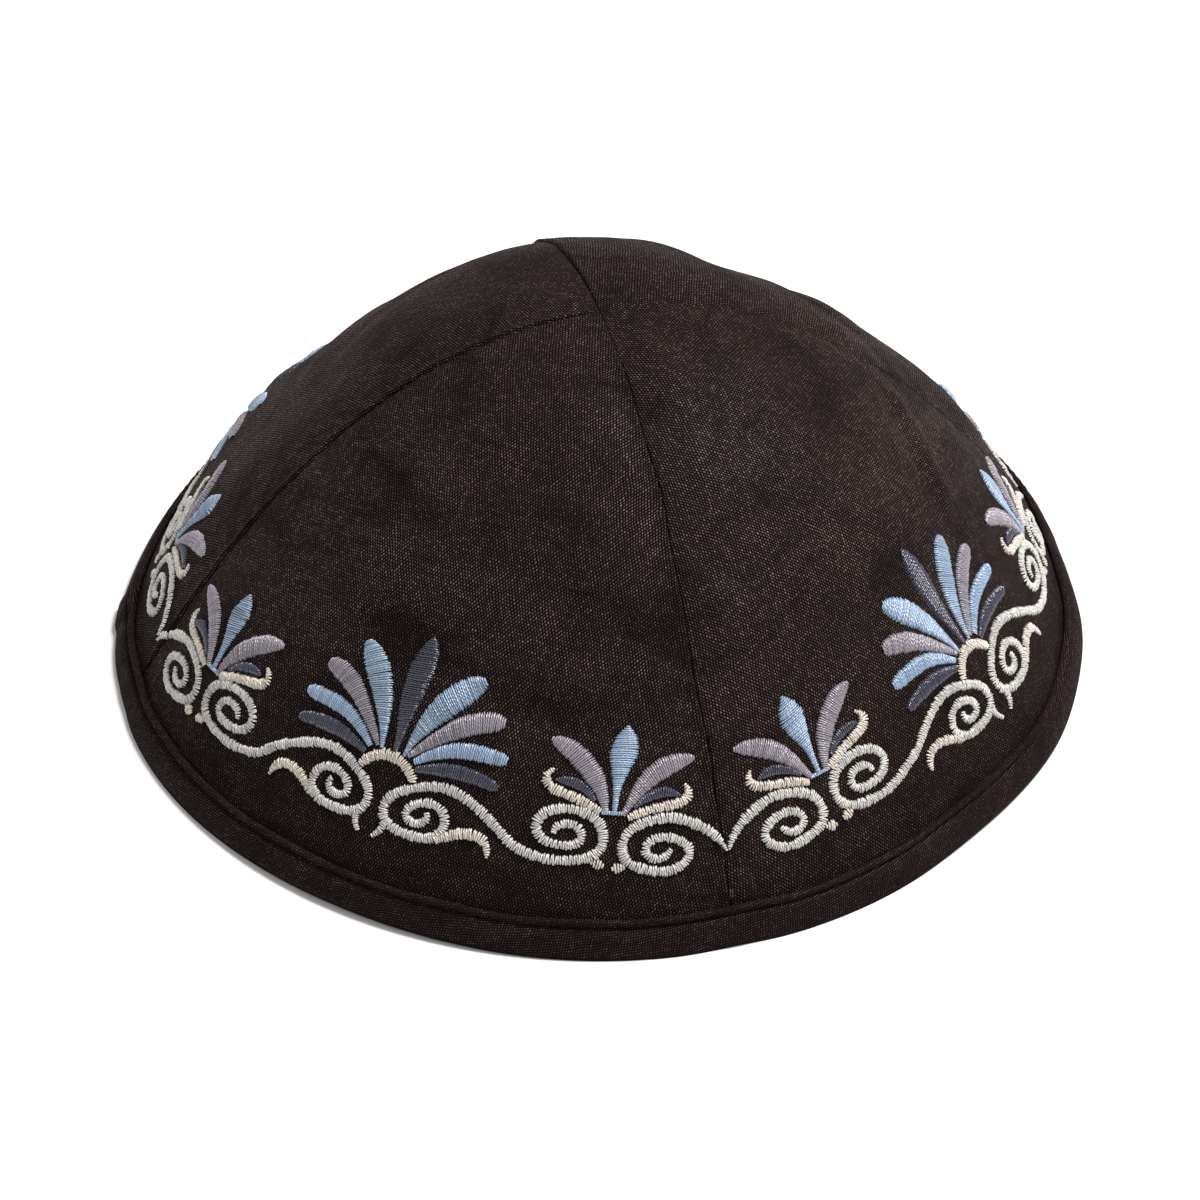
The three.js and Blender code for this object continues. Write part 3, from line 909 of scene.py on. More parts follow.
def build_binding(crown, binding):
    """The folded tape as one closed ring."""
    form = crown.form
    azimuth = FIRST_SEAM + 360.0 * np.arange(binding.columns) / binding.columns
    outer, inner = binding_section(crown, binding, azimuth)
    seam_bump = 0.22 * MM * bell(np.radians(crown.off_seam(azimuth)) * form.rim_radius, 3.0 * MM)
    wobble = 0.12 * MM * Waves(5, 6, 9 * MM, 40 * MM).rolling(np.radians(azimuth) * form.rim_radius, 0.0)
    strips = []
    for index, (arc, out) in enumerate(outer):
        share = index / (len(outer) - 1)
        strips.append(crown.point(azimuth, arc + wobble * share, out + seam_bump))
    strips += [crown.point(azimuth, arc, out) for arc, out in inner]
    foot = crown.line(np.zeros(1))
    foot_radius = foot[0] + foot[2] * crown.swell(azimuth, 0.0 * azimuth, foot[0])
    outside = crown.binding_proud
    inside = -(form.crown_wall + outside)
    inner_turn = -inside * foot[3] / foot[2] + binding.fold_round
    outer_foot = foot_radius + outside / foot[2] - binding.fold_round
    inner_foot = foot_radius + inside / foot[2] + binding.fold_round
    strips.append(crown.point(azimuth, inner_turn, inside))
    turn = np.radians(azimuth)
    for radius in (inner_foot, 0.5 * (inner_foot + outer_foot), outer_foot):
        strips.append(np.stack([radius * np.cos(turn), radius * np.sin(turn), crown.lift(azimuth)], axis=-1))
    rows, columns = len(strips), binding.columns + 1
    strips = [np.vstack([strip, strip[:1]]) for strip in strips]
    faces = grid_faces(rows, columns)
    last = (rows - 1) * columns
    for column in range(columns - 1):
        faces.append((last + column, last + column + 1, column + 1, column))
    mesh = mesh_from("binding", np.vstack(strips), faces)
    steps = [np.linalg.norm(strips[row][0] - strips[row - 1][0]) for row in range(1, rows)]
    across = np.concatenate([[0.0], np.cumsum(steps)])
    along = 2.0 * np.pi * form.rim_radius * np.arange(columns) / (columns - 1)
    tape = np.stack(np.meshgrid(along, across), axis=-1).reshape(-1, 2)
    lay_map(mesh, "cloth", tape)
    return mesh


def weld(mesh):
    """Joins the two ends of a ring."""
    shape = bmesh.new()
    shape.from_mesh(mesh)
    bmesh.ops.remove_doubles(shape, verts=shape.verts, dist=0.001 * MM)
    shape.to_mesh(mesh)
    shape.free()


class SKULLCAP_OT_binding(Operator):
    """Folds the bias tape over the edge of the gores"""

    bl_idname = "skullcap.binding"
    bl_label = "Rim Binding"

    def execute(self, context):
        scene = context.scene
        crown = Crown(scene)
        binding = scene.skullcap_binding
        mesh = build_binding(crown, binding)
        weld(mesh)
        piece = new_object("binding", mesh)
        material = woven_material("binding_cloth", binding, math.radians(45.0), 0.6, 0.08 * MM)
        finish_piece(piece, material, "rim_binding")
        return {"FINISHED"}


THREAD_STATIONS = (-1.0, -0.94, -0.7, -0.25, 0.25, 0.7, 0.94, 1.0)
THREAD_SIDES = 5
# How much wider a thread's underside is, so that no cloth shows between two threads.
THREAD_SKIRT = 1.7


def thread_template(name, width, height, arch, sink):
    """One thread from -1 to 1 along X, which rises out of the cloth, arches over and dives back in."""
    points, strand = [], []
    for station in THREAD_STATIONS:
        rise = arch * (1.0 - station**4) - sink * station**6
        taper = 0.6 if abs(station) > 0.9 else 1.0
        if abs(station) == 1.0:
            points.append((station, 0.0, rise))
            strand.append((station, 0.5))
            continue
        for side in range(THREAD_SIDES):
            turn = 2.0 * math.pi * (side - 0.75) / THREAD_SIDES
            skirt = THREAD_SKIRT if math.sin(turn) < -0.5 else 1.0
            across = 0.5 * width * taper * math.cos(turn) * skirt
            up = rise + 0.5 * height * taper * math.sin(turn)
            points.append((station, across, up))
            strand.append((station, side / THREAD_SIDES))
    faces = []
    rings = len(THREAD_STATIONS) - 2
    tail = len(points) - 1
    for side in range(THREAD_SIDES):
        after = (side + 1) % THREAD_SIDES
        faces.append((0, 1 + after, 1 + side))
        for ring in range(rings - 1):
            low = 1 + ring * THREAD_SIDES
            high = low + THREAD_SIDES
            faces.append((low + side, low + after, high + after, high + side))
        low = 1 + (rings - 1) * THREAD_SIDES
        faces.append((low + side, low + after, tail))
    mesh = mesh_from(name, points, faces)
    lay_map(mesh, "strand", strand)
    return new_object(name, mesh)


def stitch_tree():
    """Geometry Nodes that lay one thread across a path at every pitch."""
    if "laid_stitches" in bpy.data.node_groups:
        return bpy.data.node_groups["laid_stitches"]
    tree, given, result = new_group(
        "laid_stitches",
        "GeometryNodeTree",
        {
            "Geometry": ("NodeSocketGeometry", None),
            "Thread": ("NodeSocketObject", None),
            "Material": ("NodeSocketMaterial", None),
            "Pitch": ("NodeSocketFloat", 0.4 * MM),
            "Ragged": ("NodeSocketFloat", 0.08),
            "Tilt": ("NodeSocketFloat", 0.07),
            "Padding": ("NodeSocketFloat", 0.25),
            "Seed": ("NodeSocketInt", 1),
        },
        {"Geometry": "NodeSocketGeometry"},
    )
    graph = Graph(tree)

    def attribute(name, data_type="FLOAT"):
        return graph.node("GeometryNodeInputNamedAttribute", {"Name": name}, data_type=data_type).outputs[0]

    def random(low, high, salt):
        seed = graph.math("ADD", given["Seed"], float(salt))
        inputs = {2: low, 3: high, 8: seed}
        return graph.node("FunctionNodeRandomValue", inputs, data_type="FLOAT").outputs[1]

    curve = graph.node("GeometryNodeMeshToCurve", {"Mesh": given["Geometry"]}).outputs[0]
    points = graph.node(
        "GeometryNodeResampleCurve", {"Curve": curve, "Length": given["Pitch"]}, mode="LENGTH"
    ).outputs[0]
    tangent = graph.node("GeometryNodeInputTangent").outputs[0]
    facing = graph.node(
        "FunctionNodeAxesToRotation",
        {0: attribute("out_dir", "FLOAT_VECTOR"), 1: tangent},
        primary_axis="Z",
        secondary_axis="Y",
    ).outputs[0]
    tilt = graph.math("MULTIPLY", given["Tilt"], random(-1.0, 1.0, 1))
    turn = graph.math("ADD", attribute("slant"), tilt)
    euler = graph.node("ShaderNodeCombineXYZ", {"Z": turn}).outputs[0]
    twist = graph.node("FunctionNodeEulerToRotation", {0: euler}).outputs[0]
    facing = graph.node(
        "FunctionNodeRotateRotation", {0: facing, 1: twist}, rotation_space="LOCAL"
    ).outputs[0]
    half = attribute("half_width")
    reach = graph.math("MULTIPLY_ADD", given["Ragged"], random(-1.0, 1.0, 2), 1.0)
    wider = graph.math("SUBTRACT", graph.math("DIVIDE", half, MM), 0.85)
    padding = graph.math("MULTIPLY", wider, given["Padding"])
    rise = graph.math("MAXIMUM", graph.math("ADD", padding, random(0.85, 1.15, 3)), 0.6)
    across = graph.math("MULTIPLY", half, reach)
    scale = graph.node("ShaderNodeCombineXYZ", {"X": across, "Y": random(0.9, 1.08, 4), "Z": rise}).outputs[0]
    thread = graph.node("GeometryNodeObjectInfo", {"Object": given["Thread"]}).outputs["Geometry"]
    placing = {"Points": points, "Instance": thread, "Rotation": facing, "Scale": scale}
    laid = graph.node("GeometryNodeInstanceOnPoints", placing).outputs[0]
    shift = graph.math("MULTIPLY", random(-0.5, 0.5, 5), given["Ragged"])
    loose = graph.math("MULTIPLY", given["Pitch"], given["Ragged"])
    spacing = graph.math("MULTIPLY", random(-0.6, 0.6, 7), loose)
    sideways = graph.math("MULTIPLY", shift, MM)
    aside = graph.node("ShaderNodeCombineXYZ", {"X": sideways, "Y": spacing}).outputs[0]
    laid = graph.node(
        "GeometryNodeTranslateInstances", {"Instances": laid, "Translation": aside, "Local Space": True}
    ).outputs[0]
    toned = graph.node(
        "GeometryNodeStoreNamedAttribute",
        {"Geometry": laid, "Name": "tone", "Value": random(0.0, 1.0, 6)},
        data_type="FLOAT",
        domain="INSTANCE",
    ).outputs[0]
    measured = graph.node(
        "GeometryNodeStoreNamedAttribute",
        {"Geometry": toned, "Name": "reach", "Value": half},
        data_type="FLOAT",
        domain="INSTANCE",
    ).outputs[0]
    real = graph.node("GeometryNodeRealizeInstances", {"Geometry": measured}).outputs[0]
    dressing = {"Geometry": real, "Material": given["Material"]}
    dressed = graph.node("GeometryNodeSetMaterial", dressing).outputs[0]
    tree.links.new(dressed, result["Geometry"])
    return tree


def carrier_mesh(name, paths):
    """Open or closed polylines with the width, slant and outward direction that their stitches take."""
    points, edges, half, slant, out_dir = [], [], [], [], []
    for path in paths:
        start = len(points)
        count = len(path["points"])
        points.extend(map(tuple, path["points"]))
        half.extend(path["half"])
        slant.extend([path["slant"]] * count)
        out_dir.extend(path["out_dir"])
        edges.extend((start + step, start + step + 1) for step in range(count - 1))
        if path.get("closed"):
            edges.append((start + count - 1, start))
    mesh = bpy.data.meshes.new(name)
    mesh.from_pydata(points, edges, [])
    for label, kind, field, values in (
        ("half_width", "FLOAT", "value", half),
        ("slant", "FLOAT", "value", slant),
        ("out_dir", "FLOAT_VECTOR", "vector", out_dir),
    ):
        layer = mesh.attributes.new(label, kind, "POINT")
        layer.data.foreach_set(field, np.asarray(values, np.float32).ravel())
    return mesh


def lay_stitches(name, paths, thread, material, pitch, seed, ragged=0.0, tilt=0.0, padding=0.0):
    """Runs the stitch tree over the paths and returns the threads as one plain mesh object."""
    carrier = new_object(name + "_carrier", carrier_mesh(name + "_carrier", paths))
    values = {
        "Thread": thread,
        "Material": material,
        "Pitch": pitch,
        "Ragged": ragged,
        "Tilt": tilt,
        "Padding": padding,
        "Seed": seed,
    }
    tree = stitch_tree()
    modifier = carrier.modifiers.new("stitches", "NODES")
    modifier.node_group = tree
    for item in tree.interface.items_tree:
        if item.in_out == "INPUT" and item.name in values:
            modifier[item.identifier] = values[item.name]
    depsgraph = bpy.context.evaluated_depsgraph_get()
    evaluated = carrier.evaluated_get(depsgraph)
    mesh = bpy.data.meshes.new_from_object(evaluated, preserve_all_data_layers=True, depsgraph=depsgraph)
    if not mesh.polygons:
        raise RuntimeError(f"{name}: no stitch was laid")
    carrier.modifiers.remove(modifier)
    bpy.data.objects.remove(carrier)
    mesh.name = name
    mesh.polygons.foreach_set("use_smooth", np.ones(len(mesh.polygons), bool))
    return new_object(name, mesh)


def drop_template(thread):
    mesh = thread.data
    bpy.data.objects.remove(thread)
    bpy.data.meshes.remove(mesh)


def skin_path(crown, azimuth, arc, half, slant, out=0.0):
    """A path on the cloth from azimuths in degrees and arcs in metres."""
    return {
        "points": crown.skin(azimuth, arc, out),
        "out_dir": crown.skin_normal(azimuth, arc),
        "half": np.broadcast_to(half, np.shape(azimuth)),
        "slant": slant,
    }


class SKULLCAP_OT_stitches(Operator):
    """Runs the row of stitches along the binding, and the tack at the front seam"""

    bl_idname = "skullcap.stitches"
    bl_label = "Sewing Stitches"

    def execute(self, context):
        scene = context.scene
        crown = Crown(scene)
        binding = scene.skullcap_binding
        azimuth = FIRST_SEAM + 360.0 * np.arange(1440) / 1440
        out = crown.binding_proud - binding.groove_depth - 0.08 * MM
        points = crown.point(azimuth, binding.groove_arc, out)
        raised = crown.point(azimuth, binding.groove_arc, out + MM)
        groove = {
            "points": points,
            "out_dir": (raised - points) / MM,
            "half": np.full(len(azimuth), 0.5 * binding.stitch_length),
            "slant": 0.5 * math.pi,
            "closed": True,
        }
        width = binding.stitch_width
        thread = thread_template("thread_sewing", width, width, 0.12 * MM, 0.1 * MM)
        dark = thread_material("sewing_thread", binding.dark, 0.8, 0.1)
        row = lay_stitches("binding_stitches", [groove], thread, dark, binding.stitch_pitch, 11, tilt=0.03)
        finish_piece(row, None)
        drop_template(thread)
        tack_azimuth = np.array([-44.85, -44.6])
        tack = skin_path(crown, tack_azimuth, np.array([8.1, 8.0]) * MM, 0.9 * MM, 0.12, 0.25 * MM)
        thread = thread_template("thread_tack", 0.3 * MM, 0.24 * MM, 0.08 * MM, 0.4 * MM)
        dark_navy = rgba(scene.skullcap_embroidery.navy, 0.5)[:3]
        navy = thread_material("tack_thread", dark_navy, 0.6, 0.3)
        piece = lay_stitches("seam_tack", [tack], thread, navy, 0.3 * MM, 5, tilt=0.05)
        finish_piece(piece, None)
        drop_template(thread)
        return {"FINISHED"}


class Stroke(NamedTuple):
    """One band of satin stitch: rows of across, up and half width in millimetres on the motif's own chart."""

    thread: str
    rows: tuple
    slant: float = 0.0
    mirrored: bool = True


LARGE_PETALS = {
    "centre": Stroke(
        "navy",
        ((0.4, 27.6, 0.45), (0.3, 30, 0.8), (0.2, 33, 1.3), (0, 36, 1.85), (0, 39.5, 2.35), (0, 42.5, 2.3),
         (0, 44.9, 1.7), (0, 46.4, 0.9), (0, 47, 0.3)),
        12,
        mirrored=False,
    ),
    "upper": Stroke(
        "light_blue",
        ((2.1, 27.6, 0.35), (3.0, 31, 0.95), (4.6, 34.8, 1.85), (6.8, 38.3, 2.35), (8.9, 40.7, 2.1),
         (10.1, 41.8, 1.5), (10.75, 42.4, 0.8)),
        -8,
    ),
    "lilac": Stroke(
        "lilac",
        ((2.9, 27.7, 0.45), (4.8, 29.9, 0.9), (7.4, 32.5, 1.4), (10.1, 34.6, 1.8), (12.9, 35.9, 1.85),
         (15.1, 36.3, 1.55), (16.1, 36.4, 0.9)),
        -8,
    ),
    "side": Stroke(
        "light_blue",
        ((4.2, 27.1, 0.6), (6.5, 28.9, 1.0), (9.5, 30.4, 1.35), (12.5, 30.9, 1.45), (15.5, 30.8, 1.4),
         (17.7, 30.6, 1.25), (18.6, 30.5, 0.8)),
        -6,
    ),
    "low": Stroke(
        "navy",
        ((4.8, 25.9, 0.6), (7.5, 26.7, 1.05), (10.5, 27.15, 1.35), (13.5, 27.05, 1.4), (16.2, 26.6, 1.2),
         (17.8, 26.15, 1.0), (18.6, 25.9, 0.6)),
        -6,
    ),
}
LARGE_TRIM = {
    "arch": Stroke(
        "cream",
        ((-4.7, 23.7, 0.7), (-4.25, 24.5, 0.95), (-3.1, 25.6, 0.95), (-1.7, 26.45, 1.0), (0, 26.75, 1.0),
         (1.8, 26.45, 1.0), (3.2, 25.6, 0.95), (4.45, 24.5, 0.95), (4.85, 23.8, 0.7)),
        mirrored=False,
    ),
    "tail": Stroke(
        "cream",
        ((11.7, 15.8, 0.8), (13.5, 16.7, 0.85), (15.5, 17.6, 0.9), (17.8, 17.75, 0.9), (19.6, 17.0, 0.85),
         (20.5, 15.6, 0.6), (20.75, 14.7, 0.3)),
    ),
    "spur": Stroke("silver", ((2.6, 15.8, 0.7), (2.25, 14.4, 0.6), (1.4, 13.3, 0.4))),
}
# From the vine in to the middle of the curl. The vine joins these rows to those of the small motif's curl.
LARGE_CURL = (
    (21.2, 19.3, 0.88), (18.2, 21.3, 0.88), (15, 23, 0.9), (12.5, 23.9, 0.9), (10, 24.2, 0.9), (7.5, 23.7, 0.9),
    (5, 22.6, 0.9), (3.0, 21.3, 0.9), (1.8, 19.8, 0.9), (1.6, 18, 0.88), (2.4, 16.5, 0.86), (4.5, 15.5, 0.86),
    (7.5, 15.25, 0.86), (10.3, 15.5, 0.86), (12, 16.8, 0.86), (12.25, 18.7, 0.84), (11.2, 20.4, 0.82),
    (9.3, 21.15, 0.8), (7.3, 20.8, 0.78), (5.8, 19.7, 0.76), (5.5, 18.3, 0.75), (6.7, 17.4, 0.75),
    (8.3, 17.5, 0.72), (9.2, 18.6, 0.65), (8.9, 19.4, 0.5),
)
SMALL_PETALS = {
    "centre": Stroke(
        "light_blue",
        ((0.35, 23.2, 0.45), (0.6, 25.3, 0.55), (0.9, 27.5, 0.8), (1.4, 30, 1.55), (2.1, 33, 2.45),
         (2.4, 34.8, 2.1), (2.65, 36.2, 1.1), (2.8, 37, 0.35)),
        10,
    ),
    "inner lilac": Stroke(
        "lilac",
        ((-1.0, 23.3, 0.5), (-1.45, 26, 1.0), (-2.55, 28.8, 1.65), (-4.2, 31.25, 1.8), (-6.3, 33.3, 1.65),
         (-8.4, 34.5, 1.1), (-9.3, 34.9, 0.45)),
        -6,
    ),
    "outer lilac": Stroke(
        "lilac",
        ((1.8, 23.1, 0.45), (3.05, 25, 0.8), (4.6, 27.1, 1.3), (6.6, 29, 1.65), (9.1, 30.3, 1.65),
         (11.8, 30.9, 1.15), (13.2, 31.0, 0.45)),
        -6,
    ),
    "inner navy": Stroke(
        "navy",
        ((-2.8, 25.5, 0.5), (-4.1, 27.1, 0.8), (-6, 28.15, 0.95), (-7.7, 28.45, 0.7), (-8.7, 28.5, 0.3)),
        -6,
    ),
    "outer navy": Stroke(
        "navy", ((3.6, 24.2, 0.4), (5.2, 25.3, 0.7), (7.3, 26.1, 0.95), (9, 26.1, 0.9), (10.8, 25.5, 0.3)), -6
    ),
    "base": Stroke("light_blue", ((-1.5, 23.45, 0.36), (1.5, 23.2, 0.36))),
}
SMALL_TRIM = {
    "inner cream": Stroke(
        "cream",
        ((-2.0, 23.6, 0.8), (-4, 24.85, 0.9), (-6, 25.8, 0.9), (-8, 26.55, 0.9), (-9.65, 27.25, 0.9),
         (-10.45, 28.35, 0.85), (-10.05, 29.4, 0.6), (-9.2, 30.15, 0.3)),
    ),
    "outer cream": Stroke(
        "cream",
        ((2.65, 22.5, 0.6), (4.2, 23.1, 0.75), (6.2, 23.6, 0.8), (8.2, 23.85, 0.8), (10.2, 24.1, 0.85),
         (11.8, 24.6, 0.85), (12.35, 25.7, 0.7), (11.8, 27.0, 0.3)),
    ),
    "inner dot": Stroke(
        "cream",
        ((-3.3, 15.4, 0.35), (-2.95, 15.3, 0.75), (-2.4, 15.15, 0.95), (-1.9, 15.0, 0.8), (-1.6, 14.9, 0.4)),
    ),
    "outer dot": Stroke(
        "cream",
        ((0.0, 14.4, 0.35), (0.35, 14.4, 0.75), (0.9, 14.5, 0.95), (1.45, 14.6, 0.8), (1.8, 14.65, 0.4)),
    ),
}
SMALL_INNER_CURL = (
    (-16, 17.3, 0.88), (-13.5, 16.3, 0.88), (-10.9, 15.7, 0.88), (-8.0, 15.6, 0.88), (-5.0, 15.9, 0.88),
    (-3.0, 16.6, 0.88), (-1.7, 18, 0.88), (-1.45, 20, 0.88), (-2.1, 21.85, 0.88), (-3.65, 23.1, 0.88),
    (-6.0, 23.85, 0.88), (-8.5, 23.85, 0.86), (-10.8, 22.95, 0.86), (-12.05, 21.35, 0.86), (-11.9, 19.65, 0.84),
    (-10.5, 18.5, 0.82), (-8.25, 18.05, 0.8), (-6.25, 18.15, 0.78), (-5, 19.05, 0.76), (-5, 20.45, 0.75),
    (-6.1, 21.4, 0.75), (-7.9, 21.45, 0.72), (-9.0, 20.85, 0.65), (-9.3, 20.1, 0.5),
)
SMALL_OUTER_CURL = Stroke(
    "silver",
    (
        (18.55, 15.4, 0.25), (17.9, 16.6, 0.55), (16.6, 18.15, 0.82), (14.7, 19.7, 0.9), (12.2, 21.1, 0.9),
        (9.5, 22.05, 0.9), (7.2, 22.0, 0.88), (4.8, 21.5, 0.88), (2.8, 20.4, 0.88), (1.8, 18.9, 0.88),
        (1.6, 17, 0.88), (2.45, 15.35, 0.86), (4.25, 14.45, 0.86), (6.75, 13.75, 0.86), (9.0, 13.55, 0.86),
        (11, 14.2, 0.86), (12.25, 15.4, 0.86), (12.2, 16.9, 0.84), (10.9, 18.15, 0.82), (9.1, 18.9, 0.8),
        (7.15, 19, 0.78), (5.65, 18.25, 0.76), (5.25, 16.95, 0.75), (6.15, 15.9, 0.75), (7.75, 15.65, 0.72),
        (8.8, 16.25, 0.65), (9.3, 16.9, 0.5),
    ),
)
SMALL_AZIMUTH = 30.8


class Setting(NamedTuple):
    """How one motif sits on its gore.

    It is moved across and up in millimetres.
    Its top leans to its positive side and that side drops, in degrees.
    Wide and tall are the shares of its charted size.
    """

    across: float = 0.0
    up: float = 0.0
    lean: float = 0.0
    drop: float = 0.0
    wide: float = 1.0
    tall: float = 1.0


# The cloth was not hooped quite true, so the motifs stand a little differently on each gore.
LARGE_SETTINGS = {
    "front": Setting(1.1, -0.1, 2.5, 0.0),
    "right": Setting(1.8, -1.0, -2.0, 1.4, 1.0, 1.03),
    "back": Setting(0.0, -4.0, 0.0, 0.0, 1.0, 0.92),
    "left": Setting(-0.6, -4.7, 0.0, 0.0, 1.0, 0.92),
}
SMALL_SETTINGS = {
    ("front", 1): Setting(0.9, -0.1),
    ("front", -1): Setting(0.3, -1.8, -1.5, 2.3, 1.085),
    ("right", -1): Setting(-0.9),
    ("right", 1): Setting(1.6, -2.8, 0.0, 3.0),
    ("back", 1): Setting(-1.5, -4.4, 0.0, 0.0, 0.92, 0.85),
    ("back", -1): Setting(-2.8, -5.0, 0.0, 0.0, 0.9, 0.82),
    ("left", 1): Setting(-1.6, -2.1),
}
FOOT_UP = 18.0


def chart_rows(rows, setting, side):
    """Rows of a chart in their setting, mirrored first when the side is -1."""
    rows = np.array(rows, float)
    across = rows[:, 0] * side * setting.wide
    up = (rows[:, 1] - FOOT_UP) * setting.tall
    leaned = across + up * math.tan(math.radians(setting.lean)) + setting.across
    dropped = up - across * math.tan(math.radians(setting.drop)) + setting.up
    return np.stack([leaned, dropped + FOOT_UP, rows[:, 2]], axis=-1)


def on_gore(crown, rows, offset):
    """Rows as azimuth off the gore's middle in degrees, arc and half width in metres."""
    arc = rows[:, 1] * MM
    azimuth = offset + np.degrees(rows[:, 0] * MM / crown.radius(arc))
    return np.stack([azimuth, arc, rows[:, 2] * MM], axis=-1)


def large_rows(crown, gore, rows, side):
    return on_gore(crown, chart_rows(rows, LARGE_SETTINGS.get(gore, Setting()), side), 0.0)


def small_rows(crown, gore, rows, side):
    """A small motif's rows point outward to the nearer seam, so its setting is mirrored with it."""
    placed = chart_rows(rows, SMALL_SETTINGS.get((gore, side), Setting()), 1)
    placed[:, 0] *= side
    return on_gore(crown, placed, side * SMALL_AZIMUTH)


def smooth_rows(crown, rows, step=0.3 * MM):
    """Rows of a Catmull-Rom spline through a stroke's rows, about a step apart."""
    radius = crown.radius(rows[:, 1])
    flat = np.stack([np.radians(rows[:, 0]) * radius, rows[:, 1]], axis=-1)
    padded = np.vstack([2 * rows[0] - rows[1], rows, 2 * rows[-1] - rows[-2]])
    made = []
    for index in range(len(rows) - 1):
        before, start, end, after = padded[index : index + 4]
        count = max(1, round(float(np.hypot(*(flat[index + 1] - flat[index]))) / step))
        t = np.arange(count)[:, None] / count
        bend = (2 * before - 5 * start + 4 * end - after) * t**2
        twist = (3 * start - before - 3 * end + after) * t**3
        made.append(0.5 * (2 * start + (end - before) * t + bend + twist))
    made.append(rows[-1:])
    return np.vstack(made)


def gore_strokes(crown, gore):
    """Every band of the border on one gore: its thread, rows and slant."""
    strokes = []
    for stroke in (*LARGE_PETALS.values(), *LARGE_TRIM.values()):
        for side in (1, -1) if stroke.mirrored else (1,):
            strokes.append((stroke.thread, large_rows(crown, gore, stroke.rows, side), stroke.slant))
    for side in (1, -1):
        for stroke in (*SMALL_PETALS.values(), *SMALL_TRIM.values(), SMALL_OUTER_CURL):
            strokes.append((stroke.thread, small_rows(crown, gore, stroke.rows, side), stroke.slant))
        vine = np.vstack(
            [large_rows(crown, gore, LARGE_CURL[::-1], side), small_rows(crown, gore, SMALL_INNER_CURL, side)]
        )
        strokes.append(("silver", vine, 0.0))
    return strokes


# Half the length of the shortest stitch.
NARROWEST = 0.2 * MM


class SKULLCAP_OT_embroidery(Operator):
    """Stitches the border of palmettes and scrolls on every gore"""

    bl_idname = "skullcap.embroidery"
    bl_label = "Embroidered Border"

    def execute(self, context):
        scene = context.scene
        crown = Crown(scene)
        work = scene.skullcap_embroidery
        tints = {name: getattr(work, name) for name in ("silver", "cream", "light_blue", "lilac", "navy")}
        materials = {name: thread_material(f"thread_{name}", tint) for name, tint in tints.items()}
        thread = thread_template("thread_satin", work.thread_width, work.thread_height, work.arch, 0.16 * MM)
        for gore, centre in GORE_CENTRES.items():
            strokes = gore_strokes(crown, gore)
            for number_of, name in enumerate(tints):
                paths = []
                for kind, rows, slant in strokes:
                    if kind != name:
                        continue
                    fine = smooth_rows(crown, rows)
                    azimuth = centre + fine[:, 0]
                    half = np.maximum(fine[:, 2], NARROWEST)
                    paths.append(skin_path(crown, azimuth, fine[:, 1], half, math.radians(slant)))
                cord = name in ("silver", "cream")
                piece = lay_stitches(
                    f"embroidery_{gore}_{name}",
                    paths,
                    thread,
                    materials[name],
                    work.cord_pitch if cord else work.petal_pitch,
                    work.seed + number_of,
                    ragged=work.cord_ragged if cord else work.petal_ragged,
                    tilt=0.18 if cord else 0.03,
                    padding=0.4,
                )
                finish_piece(piece, None)
        drop_template(thread)
        return {"FINISHED"}


def aim(thing, target):
    thing.rotation_euler = (target - thing.location).to_track_quat("-Z", "Y").to_euler()


def add_lamp(name, place, size, power, tint):
    data = bpy.data.lights.new(name, "AREA")
    data.shape = "DISK"
    data.size = size
    data.energy = power
    data.color = tint
    lamp = new_object(name, data)
    lamp.location = place
    aim(lamp, Vector((0.0, 0.0, 0.03)))


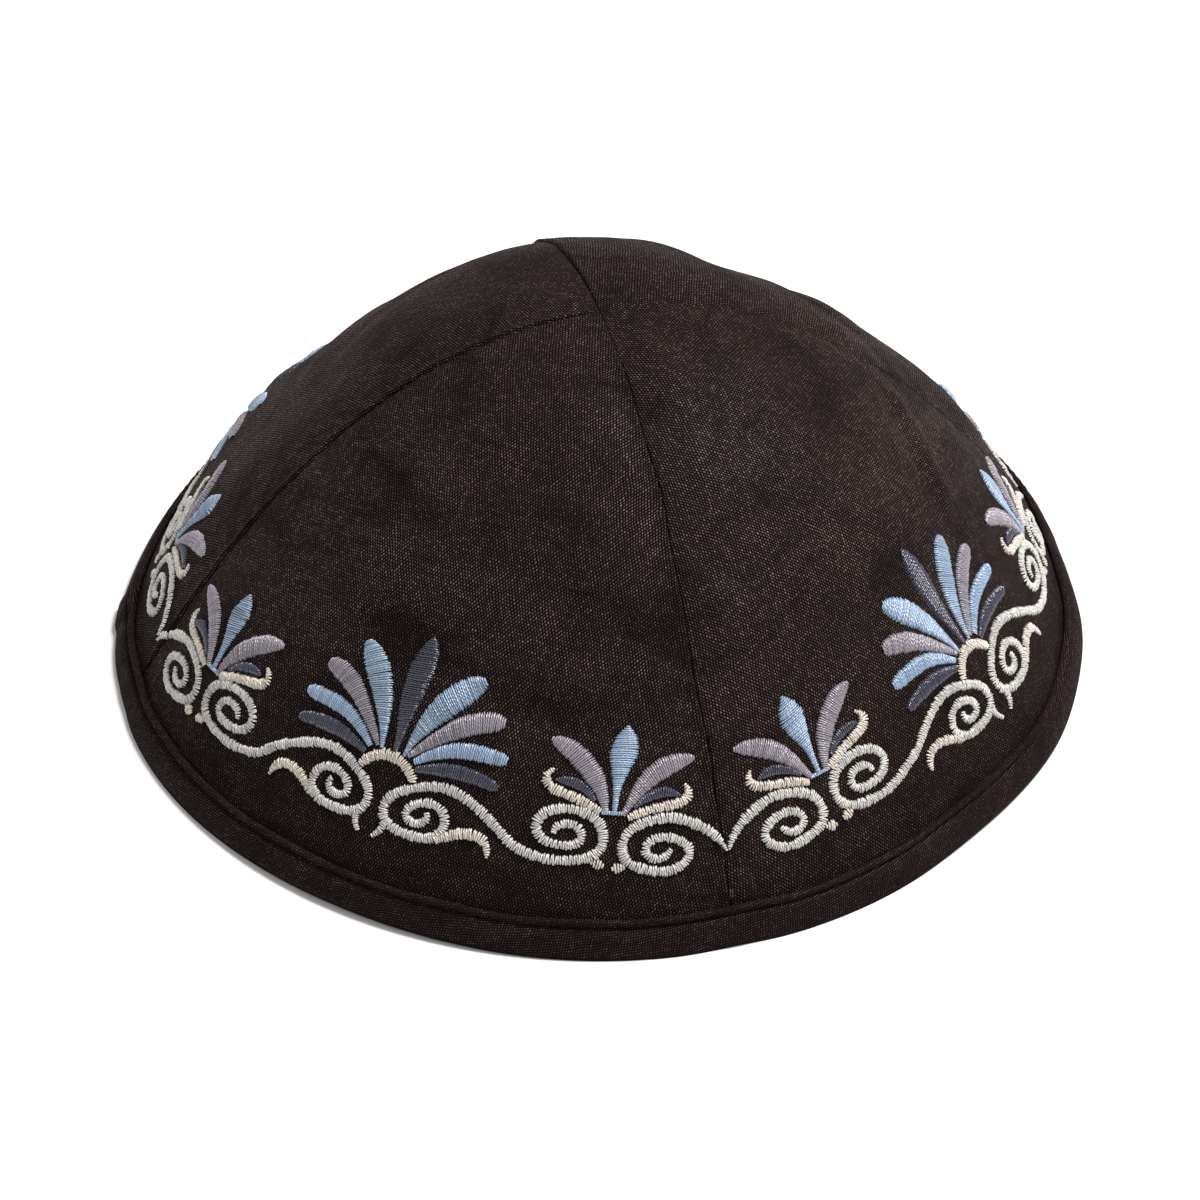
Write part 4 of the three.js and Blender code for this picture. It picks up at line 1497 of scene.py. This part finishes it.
class SKULLCAP_OT_stage(Operator):
    """Sets the floor, the lights and the camera"""

    bl_idname = "skullcap.stage"
    bl_label = "Stage"

    def execute(self, context):
        scene = context.scene
        stage = scene.skullcap_stage
        half = 0.5 * stage.floor_size
        corners = [(-half, -half, 0.0), (half, -half, 0.0), (half, half, 0.0), (-half, half, 0.0)]
        floor = new_object("floor", mesh_from("floor", corners, [(0, 1, 2, 3)]))
        made, graph, shader = new_material("floor_paper")
        place = graph.node("ShaderNodeTexCoord").outputs["Object"]
        fibre = graph.noise(place, 300.0, detail=3.0)
        tint = graph.tint(fibre, rgba(stage.floor, 0.985), rgba(stage.floor))
        graph.tree.links.new(tint, shader.inputs["Base Color"])
        shader.inputs["Roughness"].default_value = 0.9
        shader.inputs["Specular IOR Level"].default_value = 0.2
        floor.data.materials.append(made)

        world = bpy.data.worlds.new("even_white")
        scene.world = world
        world.use_nodes = True
        backdrop = world.node_tree.nodes["Background"]
        backdrop.inputs["Color"].default_value = (1.0, 1.0, 1.0, 1.0)
        backdrop.inputs["Strength"].default_value = stage.sky

        azimuth = math.radians(stage.camera_azimuth)
        elevation = math.radians(stage.camera_elevation)
        ahead = Vector((-math.sin(azimuth), math.cos(azimuth), 0.0))
        right = Vector((math.cos(azimuth), math.sin(azimuth), 0.0))
        up = Vector((0.0, 0.0, 1.0))
        add_lamp("key", 0.55 * right + 0.14 * ahead + 1.1 * up, 0.42, stage.key_power, (1.0, 0.97, 0.94))
        add_lamp("fill", -0.9 * right - 0.3 * ahead + 0.7 * up, 0.9, stage.fill_power, (1.0, 0.96, 0.92))

        data = bpy.data.cameras.new("camera")
        data.lens = stage.lens
        data.sensor_width = 36.0
        data.shift_y = stage.shift_y
        data.clip_start = 0.01
        camera = new_object("camera", data)
        camera.location = stage.camera_distance * (up * math.sin(elevation) - ahead * math.cos(elevation))
        aim(camera, Vector((0.0, 0.0, 0.0)))
        scene.camera = camera
        scene.view_settings.view_transform = "Standard"
        return {"FINISHED"}


OPERATORS = (
    SKULLCAP_OT_stage,
    SKULLCAP_OT_gores,
    SKULLCAP_OT_binding,
    SKULLCAP_OT_stitches,
    SKULLCAP_OT_embroidery,
)


class SKULLCAP_PT_panel(Panel):
    """Lists the pieces of the skullcap and their sizes"""

    bl_idname = "SKULLCAP_PT_panel"
    bl_label = "Skullcap"
    bl_space_type = "VIEW_3D"
    bl_region_type = "UI"
    bl_category = "Skullcap"

    def draw(self, context):
        for operator in OPERATORS:
            self.layout.operator(operator.bl_idname)
        for name, kind in GROUPS.items():
            box = self.layout.box()
            box.label(text=kind.__doc__)
            for field in kind.__annotations__:
                box.prop(getattr(context.scene, name), field)


CLASSES = (*GROUPS.values(), *OPERATORS, SKULLCAP_PT_panel)


def register():
    for kind in CLASSES:
        bpy.utils.register_class(kind)
    for name, kind in GROUPS.items():
        setattr(bpy.types.Scene, name, PointerProperty(type=kind))


def unregister():
    for name in GROUPS:
        delattr(bpy.types.Scene, name)
    for kind in reversed(CLASSES):
        bpy.utils.unregister_class(kind)


def main():
    register()
    bpy.ops.skullcap.stage()
    bpy.ops.skullcap.gores()
    bpy.ops.skullcap.binding()
    bpy.ops.skullcap.stitches()
    bpy.ops.skullcap.embroidery()


if __name__ == "__main__":
    main()
